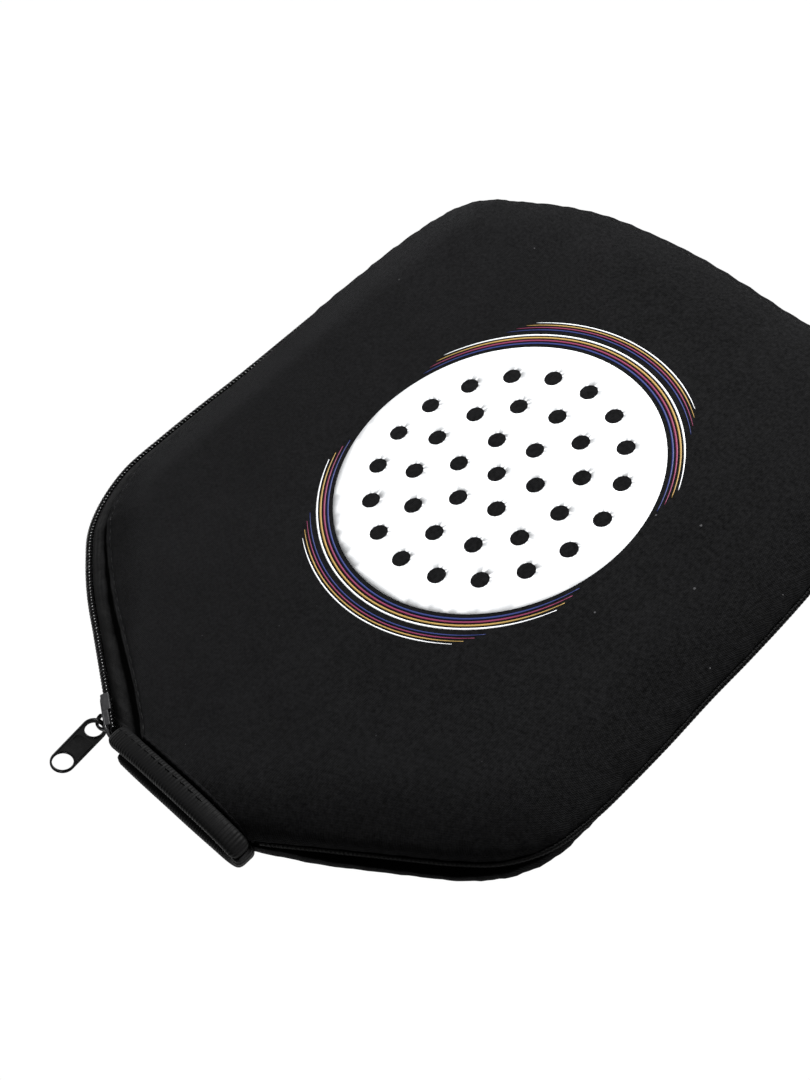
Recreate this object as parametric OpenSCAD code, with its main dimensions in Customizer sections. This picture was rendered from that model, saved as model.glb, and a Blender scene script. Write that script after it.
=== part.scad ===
// Zip-up neoprene cover for a racket-sport paddle.
// Frame: +Z up, front panel on top, rest face at z = 0, +Y from the mouth
// towards the closed top, zipper along the -X side, sewn seam along the +X side.

/* [Case] */
// Width across the case, zipper to seam
case_w = 216; // [205:1:230]
// Length from the mouth binding to the top
case_l = 241; // [230:1:255]
// Thickness with room for a 16 mm paddle
case_t = 23; // [22:0.5:26]
// Height of the zipper and seam line above the rest face
seam_z = 11.5; // [11:0.5:12.5]

/* [Neoprene] */
// Thickness of a neoprene panel
panel_t = 3; // [2.5:0.25:3.25]
// Thickness of the knitted lining
lining_t = 0.5; // [0.4:0.1:0.8]
// Plan width of the front panel's rounded edge, zipper side
roll_zip = 24; // [22:1:26]
// Plan width of the front panel's rounded edge, seam side
roll_seam = 20; // [18:1:22]
// Plan width of the back panel's rounded edge
roll_back = 22; // [20:1:24]
// Tape showing beside the coil along the straight side
tape_show = 3.8; // [3.6:0.1:5]

/* [Zipper] */
// Depth of each coil, measured outwards
coil_d = 2.2; // [1.8:0.1:2.2]
// Height of each coil above or below the seam line
coil_h = 2.9; // [2.5:0.1:2.9]
// Length of the slider
slider_l = 14.5; // [12:0.5:15]
// Height of the slider's plates
slider_h = 8; // [7.6:0.1:9]
// Length of the pull tab
tab_l = 22; // [19:0.5:26]
// Width of the pull tab
tab_w = 7.7; // [7.4:0.1:9]
// Thickness of the pull tab
tab_t = 1.2; // [1:0.1:1.4]
// Radius of the hole in the pull tab's free end
tab_hole_r = 3.2; // [2.6:0.1:3.3]
// Droop of the pull tab below level
tab_droop = 24; // [16:1:26]
// Swing of the pull tab towards the mouth at rest
tab_turn = 11; // [0:1:25]
// Twist of the pull tab about its own length
tab_twist = 20; // [0:1:22]

/* [Mouth binding] */
// Width of the binding along the case
bind_w = 6.8; // [6:0.2:7]
// Thickness of the rolled binding
bind_t = 4.6; // [4:0.2:5]

/* [Hidden] */
kx = case_w / 216;
ky = case_l / 241;
top_h = case_t - seam_z;
lining_gap = 0.2;
// The tapers to the mouth are straight at this angle.
taper_a = 31.2;
function taper(s) = [-28 - s * cos(taper_a), -118 + s * sin(taper_a)];
// The zipper side's taper is a little flatter, and the slider's track follows it.
zip_a = 29.4;
function tzip(s) = [-25.2 - s * cos(zip_a), -117.4 + s * sin(zip_a)];
mouth_s = (taper(9.5)[1] + 117.4) / sin(zip_a);
function flipx(p) = [-p[0], p[1]];
// Key points of the outline: zipper end at the mouth, up the zipper side,
// over the top, down the seam side to the mouth.
KEY0 = [tzip(0), tzip(mouth_s), tzip(25), tzip(39.5), tzip(56), [-86.3, -81.4],
        [-96.2, -72.8], [-102.9, -61.7], [-106.7, -48.6], [-106.7, -34], [-105.8, -17],
        [-104.4, 1], [-103.5, 20], [-102.6, 38], [-101, 54.9], [-99.5, 70.8],
        [-96.7, 84.9], [-92.2, 96.8], [-84.7, 104.9], [-73.6, 110.2], [-59.5, 115.7],
        [-42, 119.8], [-22, 121], [-2, 120.6], [18, 118.6], [38, 116], [57, 114.2],
        [73, 110], [86, 104], [95, 94], [100.5, 81], [103.9, 66], [106, 50],
        [107.2, 33], [107.7, 15], [107.7, -3], [108.2, -20], [108.2, -36],
        [107.6, -49], [105, -62.5], [98, -73.5], [87.5, -81.8], flipx(taper(54)),
        flipx(taper(37.5)), flipx(taper(23)), flipx(taper(9.5))];
KEY = [for (p = KEY0) [p[0] * kx, p[1] * ky]];
NK = len(KEY);
NS = 2;
function spl(i, t) = let (a = KEY[max(i - 1, 0)], b = KEY[i], c = KEY[i + 1], d = KEY[min(i + 2, NK - 1)])
    0.5 * (2 * b + (c - a) * t + (2 * a - 5 * b + 4 * c - d) * t * t + (3 * b - a - 3 * c + d) * t * t * t);
PATH = concat([for (i = [0:NK - 2]) for (j = [0:NS - 1]) spl(i, j / NS)], [KEY[NK - 1]]);
NP = len(PATH);
MA = NS;          // path index at the zipper side of the mouth
MB = NP - 1;      // path index at the seam side of the mouth
ZE = 28 * NS;     // path index at the zipper's end
mouth_y = PATH[MA][1];
function unit(v) = v / norm(v);
function sm(t) = t <= 0 ? 0 : t >= 1 ? 1 : t * t * (3 - 2 * t);
function mix(a, b, t) = a + (b - a) * t;
function tan_at(i) = unit(PATH[min(i + 1, NP - 1)] - PATH[max(i - 1, 0)]);
// Inward normal, and the direction that the edge's rings are stepped along:
// level with the mouth near the mouth, so every ring ends on the mouth's line.
function nrm(i) = let (t = tan_at(i)) [t[1], -t[0]];
function dir(i) = i <= MA ? [1, 0] : i >= MB ? [-1, 0] :
    i < MA + 10 ? unit(mix([1, 0], nrm(i), sm((i - MA) / 10))) :
    i > MB - 10 ? unit(mix([-1, 0], nrm(i), sm((MB - i) / 10))) : nrm(i);
// Plan width of the rounded edge, and the panel's edge inside the outline.
function roll_top(i) = lookup(i, [[MA, 32], [MA + 10, roll_zip], [30, roll_zip], [33, roll_zip - 3.5], [35, roll_zip - 3.5], [38, roll_zip], [ZE - 2, roll_zip], [ZE + 6, roll_seam], [MB - 10, roll_seam], [MB, 30]]);
function roll_bot(i) = lookup(i, [[MA, 30], [MA + 6, 18], [MA + 12, roll_back], [32, roll_back], [34, roll_back - 4], [38, roll_back - 4], [40, roll_back], [MB - 17, roll_back], [MB - 12, 9], [MB - 8, 4], [MB - 3, 4], [MB, 12]]);
// Outward swell of the front panel that hides the zipper along the top.
function lip(i) = lookup(i, [[20, 0], [24, 0.4], [27, 1], [32, 1.2], [44, 1.2], [48, 1.5], [ZE - 1, 1.9], [ZE + 4, 0]]);
// Outward swell of the back panel under the seam at the taper.
function swell(i) = lookup(i, [[MB - 14, 0], [MB - 8, 2], [MB - 2, 2], [MB, 0]]);
// Fullness of the rounded edge: 0.5 is a quarter ellipse, 1 a parabola.
function full_top(i) = lookup(i, [[MA, 0.5], [MA + 8, 1], [20, 1], [26, 0.6], [29, 0.5], [ZE, 0.5], [ZE + 6, 0.6], [MB - 10, 0.6], [MB, 0.5]]);
function full_bot(i) = lookup(i, [[MA, 0.5], [MA + 8, 1], [MB - 17, 1], [MB - 10, 0.5], [MB, 0.5]]);
function edge(i) = lookup(i, [[MA, 24], [3, 24], [4, 21.5], [5, 17.5], [6, 14], [7, 11.6], [8, 10.5], [10, 9], [14, 8.6], [18, 7], [22, 5], [26, tape_show + 0.6], [34, tape_show], [46, tape_show - 0.3], [ZE - 1, tape_show - 0.3], [ZE + 2, 0.2], [MB, 0.2]]);
// Rounded edge, from the seam line to the flat face. el() gives height over the
// seam line at plan distance d; pin() gives the point that lies off below the
// outer face there and never crosses the seam line. s is 1 for front, -1 for back.
function tt(d, w) = min(1 - d / w, 0.9999);
function el(d, w, h, q = 0.5) = d >= w ? h : h * pow(1 - pow(tt(d, w), 2), q);
function sl(d, w, h, q = 0.5) = d >= w ? 0 : atan((h / w) * q * 2 * tt(d, w) * pow(1 - pow(tt(d, w), 2), q - 1));
function pin(i, d, off, s) = let (w = s > 0 ? roll_top(i) : roll_bot(i), q = s > 0 ? full_top(i) : full_bot(i), h = s > 0 ? top_h : seam_z, a = sl(d, w, h, q))
    [d + off * sin(a) - (s < 0 ? swell(i) : lip(i)) * sin(180 * el(d, w, h, q) / h), s * max(el(d, w, h, q) - off * cos(a), off > 0 ? 0.05 : -1)];
function at(i, dz) = let (p = PATH[i] + dir(i) * dz[0]) [p[0], p[1], seam_z + dz[1]];
function atn(i, dz) = let (p = PATH[i] + nrm(i) * dz[0]) [p[0], p[1], seam_z + dz[1]];
function rev(v) = [for (k = [len(v) - 1:-1:0]) v[k]];

// A curved sheet that follows the rounded edge and closes over the flat face.
module sheet(s, o1, o2, inset, m) {
    n = MB - MA + 1;
    n1 = n * (m + 1);
    pts = [for (o = [o1, o2]) for (i = [MA:MB]) for (j = [0:m])
        let (w = s > 0 ? roll_top(i) : roll_bot(i), e = min(edge(i) + inset, w - 0.6))
        at(i, pin(i, e + (w - e) * pow(j / m, 1.8), o, s))];
    function O(i, j) = (i - MA) * (m + 1) + j;
    function I(i, j) = n1 + O(i, j);
    f = concat(
        [for (i = [MA:MB - 1]) for (j = [0:m - 1]) for (k = [0, 1]) k == 0 ? [O(i, j), O(i + 1, j), O(i + 1, j + 1)] : [O(i, j), O(i + 1, j + 1), O(i, j + 1)]],
        [for (i = [MA:MB - 1]) for (j = [0:m - 1]) for (k = [0, 1]) k == 0 ? [I(i, j), I(i + 1, j + 1), I(i + 1, j)] : [I(i, j), I(i, j + 1), I(i + 1, j + 1)]],
        [[for (i = [MA:MB]) O(i, m)], [for (i = [MB:-1:MA]) I(i, m)]],
        [for (i = [MA:MB - 1]) for (k = [0, 1]) k == 0 ? [O(i + 1, 0), O(i, 0), I(i, 0)] : [O(i + 1, 0), I(i, 0), I(i + 1, 0)]],
        [for (j = [0:m - 1]) for (k = [0, 1]) k == 0 ? [O(MA, j), O(MA, j + 1), I(MA, j + 1)] : [O(MA, j), I(MA, j + 1), I(MA, j)]],
        [[O(MA, m), O(MB, m), I(MB, m), I(MA, m)]],
        [for (j = [0:m - 1]) for (k = [0, 1]) k == 0 ? [O(MB, j + 1), O(MB, j), I(MB, j)] : [O(MB, j + 1), I(MB, j), I(MB, j + 1)]]);
    polyhedron(pts, s > 0 ? f : [for (q = f) rev(q)]);
}

// A solid swept through rings of the same number of points. Strip rings run
// out along one face and back along the other.
module sweep(rings, strip = false) {
    n = len(rings);
    m = len(rings[0]);
    side = [for (r = [0:n - 2]) for (k = [0:m - 1]) for (q = [0, 1]) let (k2 = (k + 1) % m)
        q == 0 ? [r * m + k, (r + 1) * m + k, (r + 1) * m + k2] : [r * m + k, (r + 1) * m + k2, r * m + k2]];
    h = m / 2;
    cap0 = strip ? [for (k = [0:h - 2]) for (q = [0, 1]) q == 0 ? [k, k + 1, m - 2 - k] : [k, m - 2 - k, m - 1 - k]] : [[for (k = [0:m - 1]) k]];
    z = (n - 1) * m;
    cap1 = [for (c = cap0) rev([for (v = c) v + z])];
    polyhedron([for (r = rings) for (p = r) p], concat(side, cap0, cap1));
}

// The fold that the open front turns about: mouth's seam corner to zipper's end.
fold_a = [38 * kx, -120 * ky];
fold_b = KEY[28];
fold_u = unit(fold_b - fold_a);
fold_n = [-fold_u[1], fold_u[0]];
module fold_side(s) {
    a = fold_a - 60 * fold_u;
    b = fold_b + 60 * fold_u;
    translate([0, 0, -5]) linear_extrude(case_t + 10)
        polygon([a, b, b + s * 320 * fold_n, a + s * 320 * fold_n]);
}

module front_panel() color([0.09, 0.09, 0.095])
    resize([0, 0, 0]) intersection() { sheet(1, 0, panel_t, 0, 7); fold_side(1); }
module front_panel_seam_side() color([0.1, 0.1, 0.105])
    resize([0, 0, 0]) intersection() { sheet(1, 0, panel_t, 0, 7); fold_side(-1); }
module back_panel() color([0.08, 0.08, 0.085]) sheet(-1, 0, panel_t, 0, 6);
module front_lining() color([0.05, 0.05, 0.05])
    resize([0, 0, 0]) intersection() { sheet(1, panel_t + lining_gap, panel_t + lining_gap + lining_t, 6.5, 5); fold_side(1); }
module front_lining_seam_side() color([0.05, 0.05, 0.05])
    resize([0, 0, 0]) intersection() { sheet(1, panel_t + lining_gap, panel_t + lining_gap + lining_t, 6.5, 5); fold_side(-1); }
module back_lining() color([0.05, 0.05, 0.05])
    sheet(-1, panel_t + lining_gap, panel_t + lining_gap + lining_t, 6.5, 5);

// Woven tape: stands behind the coil, then runs in under the panel's edge.
module tape(s) {
    o = panel_t + 0.16;
    rings = [for (i = [MA:ZE - 1]) let (e = edge(i), f = min(e + 5, (s > 0 ? roll_top(i) : roll_bot(i)) - 1.6), r = [
        atn(i, [coil_d + 0.15, s * 0.6]), atn(i, [coil_d + 0.15, s * 2.7]),
        at(i, pin(i, e - 0.3, o, s)), at(i, pin(i, f, o, s)),
        at(i, pin(i, f, o + 0.6, s)), at(i, pin(i, e - 0.3, o + 0.6, s)),
        atn(i, [coil_d + 0.75, s * 2.2]), atn(i, [coil_d + 0.75, s * 0.6])]) s > 0 ? r : rev(r)];
    sweep(rings, true);
}
module front_zipper_tape() color([0.07, 0.07, 0.07]) tape(1);
module back_zipper_tape() color([0.07, 0.07, 0.07]) tape(-1);

// Coil: plain bar of the coil's outer size.
module coil(s) {
    rings = [for (i = [0:ZE - 2]) let (r = [
        atn(i, [0, s * 0.8]), atn(i, [0, s * (coil_h - 0.5)]), atn(i, [0.5, s * coil_h]),
        atn(i, [coil_d - 0.5, s * coil_h]), atn(i, [coil_d, s * (coil_h - 0.5)]), atn(i, [coil_d, s * 0.8]),
        atn(i, [coil_d - 0.5, s * 0.35]), atn(i, [0.5, s * 0.35])]) s > 0 ? r : rev(r)];
    sweep(rings);
}
module front_coil() color([0.03, 0.03, 0.03]) coil(1);
module back_coil() color([0.03, 0.03, 0.03]) coil(-1);

// Slider frame: x towards the mouth along the taper, y into the case, z up.
slider_s = 8.3;
module slider_frame() {
    p = [tzip(slider_s)[0] * kx, tzip(slider_s)[1] * ky];
    translate([p[0], p[1], seam_z]) rotate([0, 0, -zip_a]) children();
}
module plate(l, h, t, r) {
    // rounded plate standing in the x-z plane, t thick along +y from y = 0
    translate([0, t, 0]) rotate([90, 0, 0]) linear_extrude(t) union() {
        square([l - 2 * r, h], center = true);
        square([l, h - 2 * r], center = true);
        for (a = [-1, 1]) for (b = [-1, 1]) translate([a * (l / 2 - r), b * (h / 2 - r)]) circle(r, $fn = 24);
    }
}
module slider_body() color([0.07, 0.07, 0.07]) slider_frame() {
    union() {
        translate([0, -0.9, 0]) plate(slider_l, slider_h, 0.65, 2.2);
        translate([0, coil_d + 0.95, 0]) plate(slider_l, 3.2, 0.8, 1.4);
        // flanges over the coils' outer edges
        for (s = [-1, 1]) translate([-slider_l / 2 + 2.5, -0.3, s > 0 ? 3.2 : -4])
            cube([slider_l - 5, coil_d + 0.1, 0.8]);
        // bridge between the plates
        translate([slider_l / 2 - 4, -0.3, -0.22]) cube([2.6, coil_d + 1.4, 0.44]);
    }
}
// Crown: open hook on the outer plate that the tab's ring rides on.
crown_ri = 2.6;
crown_ro = 3.5;
module slider_crown() color([0.12, 0.12, 0.12]) slider_frame() translate([0, -0.9, 0]) {
    difference() {
        translate([0, 0, -0.7]) cylinder(h = 1.4, r = crown_ro, $fn = 64);
        translate([0, 0, -2]) cylinder(h = 4, r = crown_ri, $fn = 64);
        translate([-6, 0, -2]) cube([12, 8, 4]);
        // gap at the hook's free end
        translate([-6, -0.8, -2]) cube([6, 2, 4]);
    }
}
// Pull tab: round-ended plate with a ring hole and a free-end hole.
tab_root = 1.75;
tab_ring_r = 2.7;
module tab_frame() slider_frame() translate([0, -0.9, 0])
    rotate([0, 0, -90 + tab_turn]) translate([(crown_ri + crown_ro) / 2, 0, 0]) rotate([0, tab_droop, 0]) rotate([90 + tab_twist, 0, 0]) children();
tab_c = tab_l - tab_w;
module pull_tab() color([0.03, 0.03, 0.03]) tab_frame() translate([tab_root, 0, -tab_t / 2]) difference() {
    union() {
        cylinder(h = tab_t, r = tab_w / 2, $fn = 64);
        translate([tab_c, 0, 0]) cylinder(h = tab_t, r = tab_w / 2, $fn = 64);
        translate([0, -tab_w / 2, 0]) cube([tab_c, tab_w, tab_t]);
    }
    translate([0, 0, -1]) cylinder(h = tab_t + 2, r = tab_ring_r, $fn = 64);
    translate([tab_c, 0, -1]) cylinder(h = tab_t + 2, r = tab_hole_r, $fn = 64);
    // shallow field on both faces between the holes
    for (z = [-0.75, tab_t - 0.25]) translate([4.2, -tab_w / 2 + 1.1, z]) cube([tab_c - 8.2, tab_w - 2.2, 1]);
}

// Stops clamped on the coils.
module top_stop(s) slider_frame() translate([slider_s + 0.25, -0.15, s > 0 ? 0.4 : -3.0])
    cube([1.9, coil_d + 0.2, 2.6]);
module front_top_stop() color([0.1, 0.1, 0.1]) top_stop(1);
module back_top_stop() color([0.1, 0.1, 0.1]) top_stop(-1);
module end_frame(i) {
    t = tan_at(i);
    translate([PATH[i][0], PATH[i][1], seam_z]) rotate([0, 0, atan2(t[1], t[0])]) children();
}
module bottom_stop() color([0.1, 0.1, 0.1]) end_frame(ZE - 1)
    translate([-4.4, -coil_d + 0.05, -3.1]) cube([3, coil_d - 0.1, 6.2]);
module zipper_end_tack() color([0.1, 0.1, 0.1]) end_frame(ZE + 1)
    translate([-0.6, 0.65, -1.6]) cube([1.2, 0.6, 3.2]);

// Mouth edge curve in the x-z plane: a = 90 at the flat face, 0 at the seam line.
mz = -PATH[MA][0];
mx = PATH[MB][0];
// Point and outward normal at angle a on side q (-1 zipper, 1 seam), s front or back.
function mp(q, a, s) = let (w = s > 0 ? (q < 0 ? 32 : 30) : (q < 0 ? 30 : 12), h = s > 0 ? top_h : seam_z, nn = unit([cos(a) / w, sin(a) / h]))
    [q * ((q < 0 ? mz : mx) - w * (1 - cos(a))), s * h * sin(a), q * nn[0], s * nn[1]];
function mouth_curve(s, a0 = 46) = concat([for (a = [a0:(86 - a0) / 5:88]) mp(-1, a, s)], [mp(-1, 90, s)],
    [for (a = [90:-6:6]) mp(1, a, s)], [mp(1, 1.5, s)]);
module mouth_band(s, over, y0, y1, t, c, a0 = 46) {
    rings = [for (p = mouth_curve(s, a0)) let (hi = over, lo = over - t, q = [
        [y0 + c, hi], [y1 - c, hi], [y1, hi - c], [y1, lo + c], [y1 - c, lo], [y0 + c, lo], [y0, lo + c], [y0, hi - c]],
        r = [for (v = q) [p[0] + p[2] * v[1], v[0], seam_z + p[1] + p[3] * v[1]]]) s > 0 ? rev(r) : r];
    sweep(rings);
}
by1 = mouth_y - 0.12;
module front_mouth_binding() color([0.08, 0.08, 0.08]) mouth_band(1, 0.7, by1 - bind_w, by1, bind_t, 1.3);
module back_mouth_binding() color([0.08, 0.08, 0.08]) mouth_band(-1, 0, by1 - bind_w, by1, bind_t, 1.3);
module front_mouth_hem() color([0.1, 0.1, 0.1]) mouth_band(1, 0.8, mouth_y + 0.3, mouth_y + 1.3, 1, 0.3, 76);

// Stitches along the binding: one short rod each, laid on the binding.
module binding_stitches() color([0.13, 0.13, 0.13])
    for (k = [0:11]) let (x = -17 + 3.4 * k, d = x < 0 ? mz + x : mx - x, w = x < 0 ? 32 : 30,
        z = el(d, w, top_h), a = sl(d, w, top_h) * (x < 0 ? 1 : -1))
        translate([x, by1 - 1.7, seam_z + z]) rotate([0, -a, 0]) translate([-1.2, 0, 1.05]) rotate([0, 90, 0]) cylinder(h = 2.4, r = 0.3, $fn = 16);

// Thread band that joins the two panels along the seam side.
module side_seam_thread() color([0.12, 0.12, 0.12])
    sweep([for (i = [ZE + 2:MB - 1]) [atn(i, [-1.2, -0.9]), atn(i, [-1.6, 0]), atn(i, [-1.2, 0.9]), atn(i, [0.02, 1]), atn(i, [0.02, -1])]]);

module tape_stitch(s)
    sweep([for (i = [MA + 1:ZE - 1]) let (e = edge(i), r = [at(i, pin(i, e + 0.9, -0.05, s)), at(i, pin(i, e + 1.2, -0.5, s)), at(i, pin(i, e + 1.5, -0.05, s))]) s > 0 ? r : rev(r)]);
module front_tape_stitching() color([0.13, 0.13, 0.13]) tape_stitch(1);
module back_tape_stitching() color([0.13, 0.13, 0.13]) tape_stitch(-1);

front_panel();
front_panel_seam_side();
back_panel();
front_lining();
front_lining_seam_side();
back_lining();
front_zipper_tape();
back_zipper_tape();
front_coil();
back_coil();
slider_body();
slider_crown();
pull_tab();
front_top_stop();
back_top_stop();
bottom_stop();
front_mouth_binding();
back_mouth_binding();
front_mouth_hem();
binding_stitches();
side_seam_thread();
front_tape_stitching();
back_tape_stitching();
zipper_end_tack();
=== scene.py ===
import bpy
import math
import numpy as np
from mathutils import Vector, Matrix, geometry


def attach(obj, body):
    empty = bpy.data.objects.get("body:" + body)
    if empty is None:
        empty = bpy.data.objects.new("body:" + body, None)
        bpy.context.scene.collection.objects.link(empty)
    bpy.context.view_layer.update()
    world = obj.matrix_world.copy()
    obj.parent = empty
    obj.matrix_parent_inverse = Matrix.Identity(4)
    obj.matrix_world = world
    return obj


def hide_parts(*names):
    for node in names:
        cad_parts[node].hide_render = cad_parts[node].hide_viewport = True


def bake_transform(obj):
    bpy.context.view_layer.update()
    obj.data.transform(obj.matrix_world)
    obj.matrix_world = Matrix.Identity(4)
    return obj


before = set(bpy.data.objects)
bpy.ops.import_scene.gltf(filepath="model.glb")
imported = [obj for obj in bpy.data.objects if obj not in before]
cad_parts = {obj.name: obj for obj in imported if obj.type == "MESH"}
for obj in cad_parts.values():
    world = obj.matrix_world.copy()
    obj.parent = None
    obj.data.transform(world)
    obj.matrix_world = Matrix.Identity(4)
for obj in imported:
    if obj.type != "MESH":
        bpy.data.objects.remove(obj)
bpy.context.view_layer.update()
MM = 0.001

# ---------------------------------------------------------------- outline
CA, SA = math.cos(math.radians(31.2)), math.sin(math.radians(31.2))
SEAM_Z, CASE_T, PANEL_T = 11.5, 23.0, 3.0


def taper(s, side=-1):
    return (side * (28 + s * CA), -118 + s * SA)


CZ, SZ = math.cos(math.radians(29.4)), math.sin(math.radians(29.4))


def tzip(s):
    return (-25.2 - s * CZ, -117.4 + s * SZ)


MOUTH_S = (taper(9.5)[1] + 117.4) / SZ
KEY = np.array([tzip(0), tzip(MOUTH_S), tzip(25), tzip(39.5), tzip(56), (-86.3, -81.4),
                (-96.2, -72.8), (-102.9, -61.7), (-106.7, -48.6), (-106.7, -34), (-105.8, -17),
                (-104.4, 1), (-103.5, 20), (-102.6, 38), (-101, 54.9), (-99.5, 70.8),
                (-96.7, 84.9), (-92.2, 96.8), (-84.7, 104.9), (-73.6, 110.2), (-59.5, 115.7),
                (-42, 119.8), (-22, 121), (-2, 120.6), (18, 118.6), (38, 116), (57, 114.2),
                (73, 110), (86, 104), (95, 94), (100.5, 81), (103.9, 66), (106, 50), (107.2, 33),
                (107.7, 15), (107.7, -3), (108.2, -20), (108.2, -36), (107.6, -49), (105, -62.5),
                (98, -73.5), (87.5, -81.8), taper(54, 1), taper(37.5, 1), taper(23, 1),
                taper(9.5, 1)], float)
NK = len(KEY)
MA, MB, ZE = 2, 2 * (NK - 1), 56


def path(i):
    u = np.clip(np.asarray(i, float) / 2, 0, NK - 1)
    k = np.minimum(u.astype(int), NK - 2)
    t = (u - k)[..., None]
    a, b, c, d = KEY[np.maximum(k - 1, 0)], KEY[k], KEY[k + 1], KEY[np.minimum(k + 2, NK - 1)]
    return 0.5 * (2 * b + (c - a) * t + (2 * a - 5 * b + 4 * c - d) * t ** 2 + (3 * b - a - 3 * c + d) * t ** 3)


def unit(v):
    return v / np.maximum(np.linalg.norm(v, axis=-1, keepdims=True), 1e-12)


def smooth(t):
    t = np.clip(t, 0, 1)
    return t * t * (3 - 2 * t)


def tangent(i):
    i = np.asarray(i, float)
    return unit(path(np.minimum(i + 0.7, MB)) - path(np.maximum(i - 0.7, 0)))


def normal(i):
    t = tangent(i)
    return np.stack([t[..., 1], -t[..., 0]], -1)


def inward(i):
    i = np.asarray(i, float)
    n = normal(i)
    left = unit((1 - smooth((i - MA) / 10))[..., None] * np.array([1.0, 0]) + smooth((i - MA) / 10)[..., None] * n)
    right = unit((1 - smooth((MB - i) / 10))[..., None] * np.array([-1.0, 0]) + smooth((MB - i) / 10)[..., None] * n)
    return np.where((i < MA + 10)[..., None], left, np.where((i > MB - 10)[..., None], right, n))


def table(i, rows):
    return np.interp(i, [r[0] for r in rows], [r[1] for r in rows])


def roll(i, s):
    """Plan width of the rounded edge."""
    if s > 0:
        return table(i, [(MA, 32), (MA + 10, 24), (30, 24), (33, 20.5), (35, 20.5), (38, 24), (ZE - 2, 24), (ZE + 6, 20), (MB - 10, 20), (MB, 30)])
    return table(i, [(MA, 30), (MA + 6, 18), (MA + 12, 22), (32, 22), (34, 18), (38, 18), (40, 22), (MB - 17, 22), (MB - 12, 9), (MB - 8, 4), (MB - 3, 4), (MB, 12)])


def power(i, s):
    """Fullness of the rounded edge: 0.5 is a quarter ellipse, 1 a parabola."""
    if s > 0:
        return table(i, [(MA, 0.5), (MA + 8, 1), (20, 1), (26, 0.6), (29, 0.5), (ZE, 0.5), (ZE + 6, 0.6), (MB - 10, 0.6), (MB, 0.5)])
    return table(i, [(MA, 0.5), (MA + 8, 1), (MB - 17, 1), (MB - 10, 0.5), (MB, 0.5)])


def edge(i):
    return table(i, [(MA, 24), (3, 24), (4, 21.5), (5, 17.5), (6, 14), (7, 11.6), (8, 10.5), (10, 9), (14, 8.6), (18, 7), (22, 5), (26, 4.4), (34, 3.8), (46, 3.5), (ZE - 1, 3.5), (ZE + 2, 0.2), (MB, 0.2)])


def profile(i, d, off, s):
    """Plan distance and height of the point off below the outer face at plan distance d."""
    w, h, q = roll(i, s), (CASE_T - SEAM_Z if s > 0 else SEAM_Z), power(i, s)
    t = np.clip(1 - d / w, 0, 0.9999)
    e = h * (1 - t ** 2) ** q
    a = np.arctan((h / w) * q * 2 * t * (1 - t ** 2) ** (q - 1))
    rows = [(20, 0), (24, 0.4), (27, 1), (32, 1.2), (44, 1.2), (48, 1.5), (ZE - 1, 1.9), (ZE + 4, 0)] if s > 0 else [(MB - 14, 0), (MB - 8, 2), (MB - 2, 2), (MB, 0)]
    swell = table(i, rows) * np.sin(math.pi * e / h)
    return d + off * np.sin(a) - swell, s * np.maximum(e - off * np.cos(a), 0.05 if off > 0 else -1), a


def shell(i, d, off, s):
    i, d = np.broadcast_arrays(np.asarray(i, float), np.asarray(d, float))
    dd, z, a = profile(i, d, off, s)
    p = path(i) + inward(i) * dd[..., None]
    return np.concatenate([p, (SEAM_Z + z)[..., None]], -1)


def along(i, d, z):
    """Point stepped in along the true normal, z over the seam line."""
    i, d, z = np.broadcast_arrays(np.asarray(i, float), np.asarray(d, float), np.asarray(z, float))
    p = path(i) + normal(i) * d[..., None]
    return np.concatenate([p, (SEAM_Z + z)[..., None]], -1)


# index of the outline at a given arc length
_ii = np.linspace(0, MB, 4001)
_pp = path(_ii)
_ss = np.concatenate([[0], np.cumsum(np.linalg.norm(np.diff(_pp, axis=0), axis=1))])


def at_len(s):
    return np.interp(s, _ss, _ii)


def len_at(i):
    return np.interp(i, _ii, _ss)


MOUTH_Y = float(path(MA)[1])


def wob(x, y):
    """Slow unevenness of the cloth-faced foam, in mm."""
    v = 0.20 * np.sin(x / 19.0 + 0.7 * np.sin(y / 31.0)) * np.sin(y / 23.0 + 1.3)
    v += 0.16 * np.sin((0.8 * x + 0.6 * y) / 13.0 + 2.1) * np.sin((0.6 * x - 0.8 * y) / 27.0 + 0.4)
    v += 0.07 * np.sin((0.5 * x - 0.86 * y) / 7.0 + 1.0) * np.sin((0.86 * x + 0.5 * y) / 9.0)
    return v


# ---------------------------------------------------------------- mesh helpers
def make(name, verts, faces, mats, body=None, slot=None, smooth_shade=True, mat_index=None, p0=True):
    me = bpy.data.meshes.new(name)
    v = np.asarray(verts, float) * MM
    me.from_pydata(v.tolist(), [], [list(map(int, f)) for f in faces])
    me.validate(clean_customdata=False)
    ob = bpy.data.objects.new(name, me)
    bpy.context.scene.collection.objects.link(ob)
    for m in (mats if isinstance(mats, (list, tuple)) else [mats]):
        me.materials.append(m)
    if mat_index is not None:
        me.polygons.foreach_set("material_index", np.asarray(mat_index, np.int32))
    me.polygons.foreach_set("use_smooth", [smooth_shade] * len(me.polygons))
    if p0:
        co = np.zeros(len(me.vertices) * 3, np.float32)
        me.vertices.foreach_get("co", co)
        a = me.attributes.new("p0", "FLOAT_VECTOR", "POINT")
        a.data.foreach_set("vector", co)
    me.update()
    if body:
        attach(ob, body)
    return ob


def set_attr(ob, name, values):
    a = ob.data.attributes.new(name, "FLOAT", "POINT")
    a.data.foreach_set("value", np.asarray(values, np.float32))


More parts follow.
